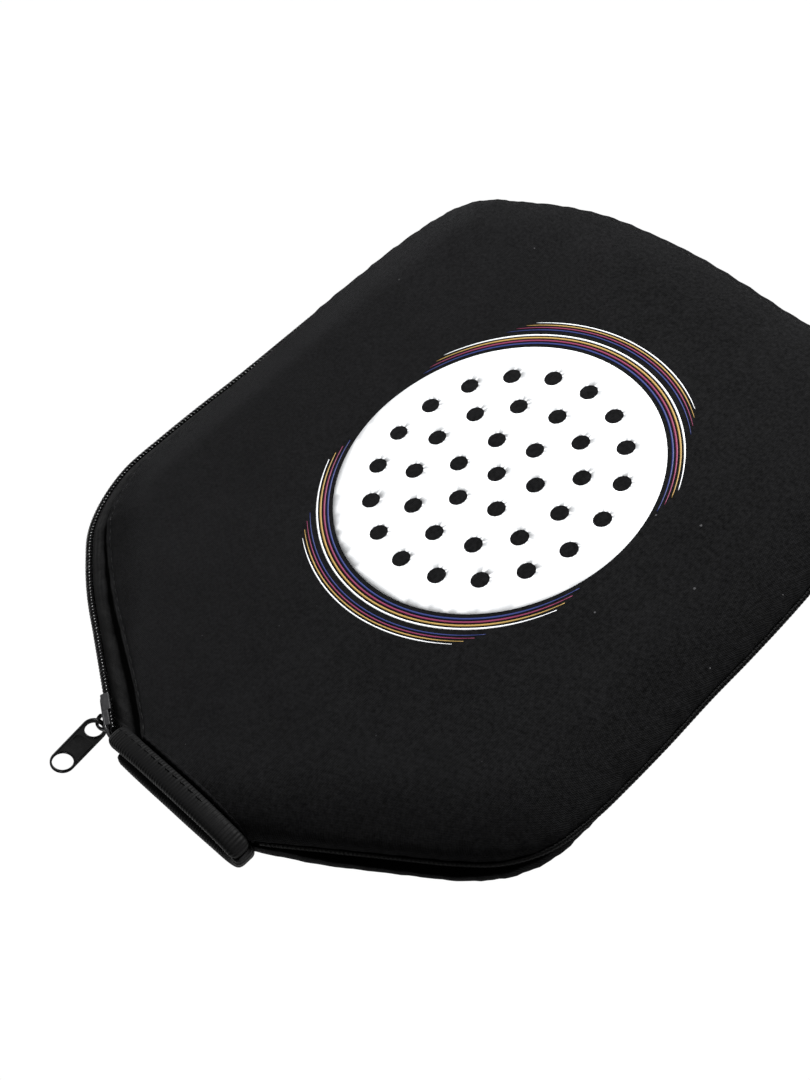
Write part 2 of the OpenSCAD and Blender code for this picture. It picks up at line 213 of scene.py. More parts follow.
def grid_faces(nr, nc, base=0, flip=False, wrap=False):
    """Quads of a grid of nr rows by nc columns of vertices; wrap closes the columns."""
    f = []
    for r in range(nr - 1):
        for c in range(nc if wrap else nc - 1):
            c2 = (c + 1) % nc
            q = (base + r * nc + c, base + (r + 1) * nc + c, base + (r + 1) * nc + c2, base + r * nc + c2)
            f.append(q[::-1] if flip else q)
    return f


def frames_along(pts, up=(0, 0, 1)):
    pts = np.asarray(pts, float)
    t = np.gradient(pts, axis=0)
    t = unit(t)
    up = np.asarray(up, float)
    s = np.cross(np.broadcast_to(up, t.shape), t)
    s = unit(s)
    n = np.cross(t, s)
    return t, s, n


def tube(pts, r, sides=8, closed=False, up=(0, 0, 1), r2=None, caps=True):
    """Round or oval tube along points; returns verts, faces. r may be per point."""
    pts = np.asarray(pts, float)
    n = len(pts)
    if closed:
        t = unit(np.roll(pts, -1, 0) - np.roll(pts, 1, 0))
    else:
        t = unit(np.gradient(pts, axis=0))
    # rotation-minimising frame
    ref = np.asarray(up, float)
    s0 = np.cross(ref, t[0])
    if np.linalg.norm(s0) < 1e-3:
        s0 = np.cross(np.array([1.0, 0.3, 0.2]), t[0])
    s0 /= np.linalg.norm(s0)
    S = [s0]
    for k in range(1, n):
        v = S[-1] - t[k] * np.dot(S[-1], t[k])
        S.append(v / np.linalg.norm(v))
    S = np.array(S)
    B = np.cross(t, S)
    r = np.broadcast_to(np.asarray(r, float), (n,))
    q = r if r2 is None else np.broadcast_to(np.asarray(r2, float), (n,))
    ang = np.linspace(0, 2 * math.pi, sides, endpoint=False)
    V = (pts[:, None] + S[:, None] * (np.cos(ang)[None, :, None] * r[:, None, None]) + B[:, None] * (np.sin(ang)[None, :, None] * q[:, None, None])).reshape(-1, 3)
    F = grid_faces(n, sides, wrap=True, flip=True)
    if closed:
        for c in range(sides):
            c2 = (c + 1) % sides
            F.append(((n - 1) * sides + c2, c2, c, (n - 1) * sides + c)[::-1])
    elif caps:
        F.append(tuple(range(sides))[::-1][::-1])
        F.append(tuple((n - 1) * sides + c for c in range(sides))[::-1])
    return V, F


class Bag:
    """Collects several closed shapes into one mesh."""

    def __init__(self):
        self.v, self.f, self.n, self.m = [], [], 0, []

    def add(self, V, F, m=0):
        V = np.asarray(V, float)
        self.v.append(V)
        self.f += [tuple(i + self.n for i in f) for f in F]
        self.m += [m] * len(F)
        self.n += len(V)

    def make(self, name, mats, **kw):
        return make(name, np.concatenate(self.v), self.f, mats, mat_index=self.m, **kw)


def fix_normals(ob):
    import bmesh
    bm = bmesh.new()
    bm.from_mesh(ob.data)
    bmesh.ops.recalc_face_normals(bm, faces=bm.faces)
    bm.to_mesh(ob.data)
    bm.free()


# ---------------------------------------------------------------- materials
def nodes_of(name):
    m = bpy.data.materials.new(name)
    m.use_nodes = True
    nt = m.node_tree
    nt.nodes.clear()
    out = nt.nodes.new("ShaderNodeOutputMaterial")
    b = nt.nodes.new("ShaderNodeBsdfPrincipled")
    nt.links.new(b.outputs[0], out.inputs[0])
    return m, nt, b


class G:
    """Small wrapper that adds shader nodes."""

    def __init__(self, nt):
        self.nt = nt

    def node(self, t, **kw):
        n = self.nt.nodes.new(t)
        for k, v in kw.items():
            setattr(n, k, v)
        return n

    def link(self, a, b):
        self.nt.links.new(a, b)

    def put(self, sock, v):
        if hasattr(v, "links"):
            self.link(v, sock)
        else:
            sock.default_value = v

    def p0(self):
        n = self.node("ShaderNodeAttribute", attribute_name="p0")
        return n.outputs["Vector"]

    def attr(self, name):
        return self.node("ShaderNodeAttribute", attribute_name=name).outputs["Fac"]

    def math(self, op, a, b=None, c=None, clamp=False):
        n = self.node("ShaderNodeMath", operation=op, use_clamp=clamp)
        self.put(n.inputs[0], a)
        if b is not None:
            self.put(n.inputs[1], b)
        if c is not None:
            self.put(n.inputs[2], c)
        return n.outputs[0]

    def vmath(self, op, a, b=None, scale=None):
        n = self.node("ShaderNodeVectorMath", operation=op)
        self.put(n.inputs[0], a)
        if b is not None:
            self.put(n.inputs[1], b)
        if scale is not None:
            self.put(n.inputs["Scale"], scale)
        return n.outputs["Value"] if op in ("LENGTH", "DOT_PRODUCT", "DISTANCE") else n.outputs[0]

    def noise(self, vec, scale, detail=2.0, rough=0.5, dist=0.0):
        n = self.node("ShaderNodeTexNoise")
        self.put(n.inputs["Vector"], vec)
        n.inputs["Scale"].default_value = scale
        n.inputs["Detail"].default_value = detail
        n.inputs["Roughness"].default_value = rough
        n.inputs["Distortion"].default_value = dist
        return n.outputs["Fac"]

    def voronoi(self, vec, scale, feature="F1", out="Distance", rand=1.0):
        n = self.node("ShaderNodeTexVoronoi", feature=feature)
        self.put(n.inputs["Vector"], vec)
        n.inputs["Scale"].default_value = scale
        n.inputs["Randomness"].default_value = rand
        return n.outputs[out]

    def wave(self, vec, scale, direction="X", dist=0.0, profile="SIN"):
        n = self.node("ShaderNodeTexWave", wave_type="BANDS", bands_direction=direction, wave_profile=profile)
        self.put(n.inputs["Vector"], vec)
        n.inputs["Scale"].default_value = scale
        n.inputs["Distortion"].default_value = dist
        return n.outputs["Fac"]

    def ramp(self, fac, stops, interp="LINEAR"):
        n = self.node("ShaderNodeValToRGB")
        n.color_ramp.interpolation = interp
        e = n.color_ramp.elements
        while len(e) > 1:
            e.remove(e[-1])
        e[0].position, e[0].color = stops[0][0], tuple(stops[0][1]) + (1,)
        for pos, col in stops[1:]:
            k = e.new(pos)
            k.color = tuple(col) + (1,)
        self.put(n.inputs["Fac"], fac)
        return n.outputs["Color"]

    def maprange(self, v, a, b, c=0.0, d=1.0):
        n = self.node("ShaderNodeMapRange")
        self.put(n.inputs["Value"], v)
        for k, x in zip(("From Min", "From Max", "To Min", "To Max"), (a, b, c, d)):
            n.inputs[k].default_value = x
        return n.outputs["Result"]

    def mix(self, fac, a, b, blend="MIX"):
        n = self.node("ShaderNodeMix", data_type="RGBA", blend_type=blend)
        self.put(n.inputs["Factor"], fac)
        for sock, v in ((n.inputs[6], a), (n.inputs[7], b)):
            self.put(sock, v if hasattr(v, "links") else tuple(v) + ((1,) if len(v) == 3 else ()))
        return n.outputs[2]

    def bump(self, height, strength, dist, normal=None):
        n = self.node("ShaderNodeBump")
        self.put(n.inputs["Height"], height)
        n.inputs["Strength"].default_value = strength
        n.inputs["Distance"].default_value = dist
        if normal is not None:
            self.put(n.inputs["Normal"], normal)
        return n.outputs["Normal"]

    def sep(self, vec):
        n = self.node("ShaderNodeSeparateXYZ")
        self.put(n.inputs[0], vec)
        return n.outputs

    def comb(self, x, y, z):
        n = self.node("ShaderNodeCombineXYZ")
        for s, v in zip(n.inputs, (x, y, z)):
            self.put(s, v)
        return n.outputs[0]


def knit(g, p, pitch=0.00058):
    """Height of a fine jersey knit: columns of small Vs. p is a position in metres."""
    x, y, z = g.sep(p)
    # columns run along y; side walls use the same pattern carried down by z
    xx = g.math("ADD", x, g.math("MULTIPLY", z, 0.6))
    yy = g.math("ADD", y, g.math("MULTIPLY", z, 0.8))
    w = 2 * math.pi / pitch
    a = g.math("MULTIPLY", xx, w)
    saw = g.math("ABSOLUTE", g.math("SUBTRACT", g.math("FRACT", g.math("MULTIPLY", xx, 1 / pitch)), 0.5))
    v = g.math("SINE", g.math("ADD", g.math("MULTIPLY", yy, w * 1.15), g.math("MULTIPLY", saw, 9.0)))
    col = g.math("COSINE", a)
    return g.math("ADD", g.math("MULTIPLY", v, 0.5), g.math("MULTIPLY", col, 0.35))


def mat_neoprene(name, base=(0.0044, 0.0044, 0.0046), lint=True, sheen=0.03, knit_pitch=0.00062, rough=0.86):
    m, nt, b = nodes_of(name)
    g = G(nt)
    p = g.p0()
    k = knit(g, p, knit_pitch)
    n1 = g.noise(p, 900, 3, 0.65)
    n2 = g.noise(p, 55, 4, 0.55)
    n3 = g.noise(p, 9, 2, 0.5)
    shade = g.math("ADD", g.math("MULTIPLY", g.math("SUBTRACT", n1, 0.5), 3.0), g.math("ADD", g.math("MULTIPLY", g.math("SUBTRACT", n2, 0.5), 0.75), g.math("MULTIPLY", g.math("SUBTRACT", n3, 0.5), 0.22)))
    shade = g.math("ADD", shade, g.math("MULTIPLY", k, 0.07))
    shade = g.math("ADD", 1.0, shade)
    col = g.vmath("SCALE", g.comb(*base), scale=shade)
    if lint:
        v = g.voronoi(p, 230, "F1", "Distance")
        r = g.voronoi(p, 230, "F1", "Color")
        rs = g.sep(r)
        pick = g.math("GREATER_THAN", rs[0], 0.90)
        size = g.math("MULTIPLY", g.math("POWER", rs[1], 3.0), 0.085)
        dot = g.math("MULTIPLY", pick, g.math("LESS_THAN", v, g.math("ADD", size, 0.02)))
        amt = g.math("MULTIPLY", dot, g.math("ADD", 0.12, g.math("MULTIPLY", rs[2], 0.55)))
        col = g.mix(amt, col, (0.16, 0.16, 0.165))
    g.put(b.inputs["Base Color"], col)
    g.put(b.inputs["Roughness"], g.maprange(n2, 0.3, 0.7, rough - 0.05, rough + 0.05))
    b.inputs["Specular IOR Level"].default_value = 0.025
    b.inputs["Sheen Weight"].default_value = sheen
    b.inputs["Sheen Roughness"].default_value = 0.42
    b.inputs["Sheen Tint"].default_value = (0.75, 0.76, 0.8, 1)
    h = g.math("ADD", g.math("MULTIPLY", k, 0.5), g.math("MULTIPLY", n1, 0.9))
    nb = g.bump(h, 0.8, 0.00026)
    nb = g.bump(n2, 0.25, 0.0006, nb)
    g.put(b.inputs["Normal"], nb)
    return m


def mat_tape(name, base=(0.0048, 0.0048, 0.005)):
    """Woven zipper tape: fine herringbone."""
    m, nt, b = nodes_of(name)
    g = G(nt)
    p = g.p0()
    x, y, z = g.sep(p)
    u, v = g.attr("u"), g.attr("v")     # millimetres along and across
    tri = g.math("ABSOLUTE", g.math("SUBTRACT", g.math("FRACT", g.math("MULTIPLY", v, 1 / 1.6)), 0.5))
    ph = g.math("ADD", g.math("MULTIPLY", u, 2 * math.pi / 0.62), g.math("MULTIPLY", tri, 2 * math.pi * 2.2))
    tw = g.math("SINE", ph)
    rib = g.math("SINE", g.math("MULTIPLY", v, 2 * math.pi / 0.42))
    n1 = g.noise(p, 1100, 2, 0.6)
    n2 = g.noise(p, 120, 3, 0.5)
    sh = g.math("ADD", 1.0, g.math("ADD", g.math("MULTIPLY", tw, 0.13), g.math("ADD", g.math("MULTIPLY", g.math("SUBTRACT", n1, 0.5), 2.6), g.math("MULTIPLY", g.math("SUBTRACT", n2, 0.5), 0.35))))
    g.put(b.inputs["Base Color"], g.vmath("SCALE", g.comb(*base), scale=sh))
    b.inputs["Roughness"].default_value = 0.74
    b.inputs["Specular IOR Level"].default_value = 0.08
    b.inputs["Sheen Weight"].default_value = 0.02
    h = g.math("ADD", g.math("MULTIPLY", tw, 0.6), g.math("MULTIPLY", rib, 0.25))
    g.put(b.inputs["Normal"], g.bump(g.math("ADD", h, g.math("MULTIPLY", n1, 0.5)), 0.6, 0.00012))
    return m


def mat_thread(name, base=(0.0048, 0.0048, 0.005), spec=0.10):
    m, nt, b = nodes_of(name)
    g = G(nt)
    p = g.p0()
    n1 = g.noise(p, 2600, 2, 0.6)
    x, y, z = g.sep(p)
    tw = g.math("SINE", g.math("MULTIPLY", g.math("ADD", g.math("ADD", x, y), g.math("MULTIPLY", z, 1.3)), 2 * math.pi / 0.00042))
    sh = g.math("ADD", 1.0, g.math("ADD", g.math("MULTIPLY", g.math("SUBTRACT", n1, 0.5), 0.5), g.math("MULTIPLY", tw, 0.18)))
    g.put(b.inputs["Base Color"], g.vmath("SCALE", g.comb(*base), scale=sh))
    b.inputs["Roughness"].default_value = 0.5
    b.inputs["Specular IOR Level"].default_value = spec
    g.put(b.inputs["Normal"], g.bump(g.math("ADD", tw, n1), 0.45, 0.00008))
    return m


def mat_nylon(name, base=(0.0045, 0.0045, 0.0047)):
    m, nt, b = nodes_of(name)
    g = G(nt)
    p = g.p0()
    n1 = g.noise(p, 900, 2, 0.5)
    g.put(b.inputs["Base Color"], g.vmath("SCALE", g.comb(*base), scale=g.maprange(n1, 0.3, 0.7, 0.8, 1.25)))
    g.put(b.inputs["Roughness"], g.maprange(n1, 0.3, 0.7, 0.16, 0.24))
    b.inputs["Specular IOR Level"].default_value = 0.42
    g.put(b.inputs["Normal"], g.bump(n1, 0.15, 0.00005))
    return m


def mat_enamel(name, base=(0.012, 0.012, 0.013), rough=0.16, spec=0.5, coat=0.3, wear=0.35):
    """Painted die-cast metal: slight orange peel, paler worn edges."""
    m, nt, b = nodes_of(name)
    g = G(nt)
    p = g.p0()
    n1 = g.noise(p, 700, 3, 0.55)
    n2 = g.noise(p, 2600, 2, 0.5)
    geo = g.node("ShaderNodeNewGeometry")
    edge_w = g.maprange(geo.outputs["Pointiness"], 0.52, 0.60, 0.0, 1.0)
    wearf = g.math("MULTIPLY", g.math("MULTIPLY", edge_w, g.maprange(n1, 0.45, 0.7, 0.0, 1.0)), wear)
    col = g.mix(wearf, g.vmath("SCALE", g.comb(*base), scale=g.maprange(n1, 0.3, 0.7, 0.85, 1.2)), (0.12, 0.12, 0.12))
    g.put(b.inputs["Base Color"], col)
    g.put(b.inputs["Roughness"], g.maprange(n1, 0.3, 0.7, rough * 0.8, rough * 1.3))
    b.inputs["Specular IOR Level"].default_value = spec
    b.inputs["Coat Weight"].default_value = coat
    b.inputs["Coat Roughness"].default_value = 0.12
    g.put(b.inputs["Normal"], g.bump(n2, 0.12, 0.00004))
    return m


def mat_ink(name, base, rough=0.55):
    """Screen-printed ink over knit: the knit shows faintly through."""
    m, nt, b = nodes_of(name)
    g = G(nt)
    p = g.p0()
    k = knit(g, p, 0.00062)
    n1 = g.noise(p, 1500, 3, 0.6)
    n2 = g.noise(p, 60, 3, 0.5)
    sh = g.math("ADD", 1.0, g.math("ADD", g.math("MULTIPLY", g.math("SUBTRACT", n1, 0.5), 0.10), g.math("MULTIPLY", g.math("SUBTRACT", n2, 0.5), 0.05)))
    g.put(b.inputs["Base Color"], g.vmath("SCALE", g.comb(*base), scale=sh))
    b.inputs["Roughness"].default_value = rough
    b.inputs["Specular IOR Level"].default_value = 0.35
    g.put(b.inputs["Normal"], g.bump(g.math("ADD", g.math("MULTIPLY", k, 0.4), n1), 0.25, 0.00012))
    return m


def mat_binding(name, base=(0.0032, 0.0032, 0.0033)):
    """Ribbed elastic: v is millimetres along the band."""
    m, nt, b = nodes_of(name)
    g = G(nt)
    p = g.p0()
    v = g.attr("v")
    n1 = g.noise(p, 1700, 2, 0.6)
    n2 = g.noise(p, 150, 3, 0.5)
    rib = g.math("SINE", g.math("ADD", g.math("MULTIPLY", v, 2 * math.pi / 0.8), g.math("MULTIPLY", n2, 2.0)))
    sh = g.math("ADD", 1.0, g.math("ADD", g.math("MULTIPLY", rib, 0.08), g.math("ADD", g.math("MULTIPLY", g.math("SUBTRACT", n1, 0.5), 0.5), g.math("MULTIPLY", g.math("SUBTRACT", n2, 0.5), 0.4))))
    g.put(b.inputs["Base Color"], g.vmath("SCALE", g.comb(*base), scale=sh))
    b.inputs["Roughness"].default_value = 0.62
    b.inputs["Specular IOR Level"].default_value = 0.08
    b.inputs["Sheen Weight"].default_value = 0.02
    g.put(b.inputs["Normal"], g.bump(g.math("ADD", g.math("MULTIPLY", rib, 0.5), g.math("MULTIPLY", n1, 0.5)), 0.6, 0.00015))
    return m


M_NEO = mat_neoprene("neoprene_face")
M_NEO_BACK = mat_neoprene("neoprene_back_face", lint=True)
M_FOAM = mat_neoprene("neoprene_cut_edge", base=(0.003, 0.003, 0.0031), lint=False, sheen=0.0)
M_LINE = mat_neoprene("lining_knit", base=(0.007, 0.007, 0.0073), lint=False, sheen=0.02, knit_pitch=0.0009)
M_TAPE = mat_tape("zipper_tape_weave")
M_COIL = mat_nylon("nylon_coil")
M_THREAD = mat_thread("thread_black")
M_OVER = mat_thread("overlock_thread", base=(0.0024, 0.0024, 0.0025), spec=0.06)
M_CORD = mat_thread("coil_cord", base=(0.0025, 0.0025, 0.0026), spec=0.05)
M_SLIDER = mat_enamel("slider_enamel", base=(0.026, 0.026, 0.027), rough=0.36, spec=0.35, coat=0.0, wear=0.5)
M_TAB = mat_enamel("pull_tab_enamel", base=(0.0035, 0.0035, 0.0037), rough=0.3, spec=0.12, coat=0.03, wear=0.3)
M_STOP = mat_enamel("stop_enamel", base=(0.008, 0.008, 0.008), rough=0.3, spec=0.3, coat=0.0)
M_BIND = mat_binding("mouth_elastic")
M_BIND_BACK = mat_binding("mouth_elastic_inner", base=(0.011, 0.011, 0.0113))
M_WHITE = mat_ink("ink_white", (0.62, 0.63, 0.64))
M_BLUE = mat_ink("ink_blue", (0.014, 0.024, 0.11))
M_MAG = mat_ink("ink_magenta", (0.15, 0.018, 0.055))
M_YEL = mat_ink("ink_yellow", (0.29, 0.185, 0.05))


# ---------------------------------------------------------------- neoprene shells
def interior(i_list, w_list, s, step, extra_loops=()):
    """Plan triangulation of the flat part inside the ring d = w, closed along the mouth line."""
    ring = shell(i_list, w_list, 0, s)[:, :2]
    a, b = ring[-1], ring[0]
    n = max(2, int(np.linalg.norm(b - a) / step))
    mouth = np.array([a + (b - a) * k / n for k in range(1, n)])
    loop = np.concatenate([ring, mouth])
    lo, hi = loop.min(0), loop.max(0)
    pts = []
    ys = np.arange(lo[1] + step * 0.6, hi[1], step * 0.866)
    for r, y in enumerate(ys):
        xs = np.arange(lo[0] + (step / 2 if r % 2 else 0), hi[0], step)
        pts += [(x, y) for x in xs]
    pts = np.array(pts)
    # keep points inside the loop and away from it
    keep = inside(pts, loop) & (dist_loop(pts, loop) > step * 0.55)
    pts = pts[keep]
    allp = np.concatenate([loop, pts])
    nl = len(loop)
    edges = [(k, (k + 1) % nl) for k in range(nl)]
    vo, eo, fo, ov, oe, of = geometry.delaunay_2d_cdt([Vector(p) for p in allp.tolist()], edges, [], 1, 1e-5)
    out = np.array([tuple(v) for v in vo])
    # map back so that loop vertices keep their order
    order = {}
    for k, src in enumerate(ov):
        for q in src:
            order[q] = k
    if len(out) != len(allp):
        raise RuntimeError("triangulation changed the points")
    perm = np.array([order[q] for q in range(len(allp))])
    inv = np.empty(len(perm), int)
    inv[perm] = np.arange(len(perm))
    tris = [tuple(int(inv[v]) for v in f) for f in fo]
    return allp, tris, nl, len(ring)


def inside(pts, loop):
    x, y = pts[:, 0][:, None], pts[:, 1][:, None]
    a, b = loop, np.roll(loop, -1, 0)
    cond = (a[:, 1] > y) != (b[:, 1] > y)
    with np.errstate(divide="ignore", invalid="ignore"):
        xs = a[:, 0] + (y - a[:, 1]) / (b[:, 1] - a[:, 1]) * (b[:, 0] - a[:, 0])
    return (np.sum(cond & (x < xs), axis=1) % 2) == 1


def dist_loop(pts, loop):
    d = np.full(len(pts), 1e9)
    a, b = loop, np.roll(loop, -1, 0)
    for k in range(len(loop)):
        ab = b[k] - a[k]
        t = np.clip(((pts - a[k]) @ ab) / max(ab @ ab, 1e-12), 0, 1)
        d = np.minimum(d, np.linalg.norm(pts - (a[k] + t[:, None] * ab), axis=1))
    return d


def pucker(i, d):
    """Small ripples that the stitching pulls into the edge of the foam."""
    s = len_at(i)
    near = np.exp(-((d - edge(i) - 1.2) / 3.0) ** 2)
    return near * (0.13 * np.sin(s * 2 * math.pi / 8.7 + 1.2 * np.sin(s / 17.0)) + 0.07 * np.sin(s * 2 * math.pi / 3.3))


def disp_rim(i, d, P, s):
    """Displacement along the face normal of a rim point."""
    w = roll(i, s)
    k = smooth((d - 1.0) / 9.0)
    e = edge(i)
    v = wob(P[..., 0], P[..., 1]) * k if s > 0 else 0.35 * wob(P[..., 0], P[..., 1]) * k * smooth((w - d) / 4)
    v = v + pucker(i, d) * smooth((w - d) / 6)
    # stitch groove and the soft lip of the sewn edge
    zip_side = smooth((ZE - np.asarray(i)) / 2)
    v = v - 0.35 * np.exp(-((d - e - 1.3) / 0.55) ** 2) * zip_side
    # the seam draws the foam in on both sides of the thread
    seam = smooth((np.asarray(i) - ZE) / 4) * smooth((MB - np.asarray(i)) / 3)
    h = np.abs(P[..., 2] - SEAM_Z)
    v = v - (0.75 * np.exp(-(h / 1.7) ** 2) - 0.22 * np.exp(-((h - 4.2) / 1.6) ** 2)) * seam
    return v


def neoprene_shell(name, s, inset, off0, off1, step, per, rows, mats, lip=True, amp=1.0):
    """Closed sheet of foam that follows the case: outer grid, inner grid, rounded edge."""
    ci = np.linspace(MA, MB, (MB - MA) * per + 1)
    w = roll(ci, s)
    e = np.minimum(edge(ci) + inset, w - 0.6)
    tj = np.linspace(0, 1, rows + 1) ** 1.7
    d = e[None] + (w - e)[None] * tj[:, None]
    I = np.broadcast_to(ci[None], d.shape)

    def layer(off):
        P = shell(I, d, off, s)
        _, _, a = profile(I, d, off, s)
        nrm = np.concatenate([-inward(I) * np.sin(a)[..., None], (s * np.cos(a))[..., None]], -1)
        return P + nrm * (disp_rim(I, d, P, s) * amp)[..., None], nrm

    O, nO = layer(off0)
    N, nN = layer(off1)
    allp, tris, nl, nr = interior(ci, w, s, step)
    z = SEAM_Z + s * ((CASE_T - SEAM_Z if s > 0 else SEAM_Z))
    zi = lambda off: z - s * off + wob(allp[:, 0], allp[:, 1]) * (amp if s > 0 else 0)
    IO = np.column_stack([allp, zi(off0)])
    IN = np.column_stack([allp, zi(off1)])
    nc = len(ci)
    verts = []
    faces = []
    mi = []
    # outer rim rows 0..rows-1, ring row shared with the interior loop
    nrim = rows * nc
    oR, oI = 0, nrim
    iR = nrim + len(allp)
    iI = iR + nrim
    verts = np.concatenate([O[:rows].reshape(-1, 3), IO, N[:rows].reshape(-1, 3), IN])

    def ro(j, c):
        return oR + j * nc + c if j < rows else oI + c

    def ri(j, c):
        return iR + j * nc + c if j < rows else iI + c

    for j in range(rows):
        for c in range(nc - 1):
            q = (ro(j, c), ro(j, c + 1), ro(j + 1, c + 1), ro(j + 1, c))
            r = (ri(j, c), ri(j + 1, c), ri(j + 1, c + 1), ri(j, c + 1))
            faces += [q if s > 0 else q[::-1], r if s > 0 else r[::-1]]
            mi += [0, 1]
    for t in tris:
        a = tuple(oI + v for v in t)
        b = tuple(iI + v for v in t)
        # orient up for the front's outer face
        p, q, r = (allp[v] for v in t)
        up = (q[0] - p[0]) * (r[1] - p[1]) - (q[1] - p[1]) * (r[0] - p[0]) > 0
        if up != (s > 0):
            a = a[::-1]
        else:
            b = b[::-1]
        faces += [a, b]
        mi += [0, 1]
    # rounded sewn edge between outer and inner along d = e
    base = len(verts)
    K = 4
    rings = []
    for k in range(1, K):
        th = math.pi * k / K
        f = (1 - math.cos(th)) / 2
        bulge = math.sin(th) * (off1 - off0) * (0.28 if lip else 0.1)
        rings.append(O[0] * (1 - f) + N[0] * f + np.concatenate([-inward(ci) * bulge, np.zeros((nc, 1))], -1) * (edge(ci) > 1.5)[:, None])
    if rings:
        verts = np.concatenate([verts] + rings)
    lay = [[ro(0, c) for c in range(nc)]] + [[base + k * nc + c for c in range(nc)] for k in range(K - 1)] + [[ri(0, c) for c in range(nc)]]
    for k in range(K):
        for c in range(nc - 1):
            q = (lay[k][c], lay[k + 1][c], lay[k + 1][c + 1], lay[k][c + 1])
            faces.append(q if s > 0 else q[::-1])
            mi.append(2)
    # cut edge at the mouth: both rim ends and the straight line
    for c, fl in ((0, False), (nc - 1, True)):
        for j in range(rows):
            q = (ro(j, c), ro(j + 1, c), ri(j + 1, c), ri(j, c))
            if fl:
                q = q[::-1]
            faces.append(q if s > 0 else q[::-1])
            mi.append(2)
        loop = [lay[k][c] for k in range(K + 1)]
        faces.append(tuple(loop[::-1] if (fl == (s > 0)) else loop))
        mi.append(2)
    ml = [nr - 1] + list(range(nr, nl)) + [0]
    for k in range(len(ml) - 1):
        q = (oI + ml[k], iI + ml[k], iI + ml[k + 1], oI + ml[k + 1])
        faces.append(q[::-1] if s > 0 else q)
        mi.append(2)
    ob = make(name, verts, faces, mats, mat_index=mi)
    fix_normals(ob)
    return ob


def bend(ob):
    """Cloth on the opening side: bakes the object's placement into its mesh; nothing folds it or makes it follow a
    flap.
    """
    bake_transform(ob)


FRONT = neoprene_shell("front_panel_foam", 1, 0, 0.0, PANEL_T, 2.6, 4, 16, [M_NEO, M_LINE, M_FOAM])
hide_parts("front_panel", "front_panel_seam_side")
bend(FRONT)
BACK = neoprene_shell("back_panel_foam", -1, 0, 0.0, PANEL_T, 4.0, 4, 14, [M_NEO_BACK, M_LINE, M_FOAM])
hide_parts("back_panel")
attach(BACK, "root")

FLINE = neoprene_shell("front_lining_cloth", 1, 6.5, PANEL_T + 0.2, PANEL_T + 0.7, 5.0, 2, 6, [M_LINE, M_LINE, M_LINE], lip=False, amp=0.8)
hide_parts("front_lining", "front_lining_seam_side")
bend(FLINE)
BLINE = neoprene_shell("back_lining_cloth", -1, 6.5, PANEL_T + 0.2, PANEL_T + 0.7, 5.0, 2, 6, [M_LINE, M_LINE, M_LINE], lip=False, amp=0.8)
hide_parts("back_lining")
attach(BLINE, "root")


# ---------------------------------------------------------------- zipper
def spline(C, n):
    """Smooth curve of n points through control points on the second-last axis."""
    C = np.asarray(C, float)
    k = C.shape[-2]
    u = np.linspace(0, k - 1, n)
    j = np.minimum(u.astype(int), k - 2)
    t = (u - j)[:, None]
    a, b = C[..., np.maximum(j - 1, 0), :], C[..., j, :]
    c, d = C[..., j + 1, :], C[..., np.minimum(j + 2, k - 1), :]
    return 0.5 * (2 * b + (c - a) * t + (2 * a - 5 * b + 4 * c - d) * t ** 2 + (3 * b - a - 3 * c + d) * t ** 3)


def slab_faces(R, C):
    """Faces of a closed thin slab made of two R by C grids, the top one first."""
    o = R * C
    f = []
    for r in range(R - 1):
        for c in range(C - 1):
            q = (r * C + c, (r + 1) * C + c, (r + 1) * C + c + 1, r * C + c + 1)
            f.append(q)
            f.append(tuple(o + v for v in q[::-1]))
    ring = [r * C for r in range(R)] + [(R - 1) * C + c for c in range(1, C)] + \
           [r * C + C - 1 for r in range(R - 2, -1, -1)] + [c for c in range(C - 2, 0, -1)]
    for k in range(len(ring)):
        a, b = ring[k], ring[(k + 1) % len(ring)]
        f.append((b, a, o + a, o + b))
    return f


def ribbon(name, mid, thick, mat, U=None, V=None, **kw):
    """Closed thin cloth from its middle surface."""
    R, C = mid.shape[:2]
    n = unit(np.cross(np.gradient(mid, axis=0), np.gradient(mid, axis=1)))
    v = np.concatenate([(mid + n * thick / 2).reshape(-1, 3), (mid - n * thick / 2).reshape(-1, 3)])
    ob = make(name, v, slab_faces(R, C), mat, **kw)
    fix_normals(ob)
    if U is not None:
        set_attr(ob, "u", np.tile(U.ravel(), 2))
        set_attr(ob, "v", np.tile(V.ravel(), 2))
    return ob


COIL_D, COIL_H, PITCH = 2.2, 2.9, 1.3


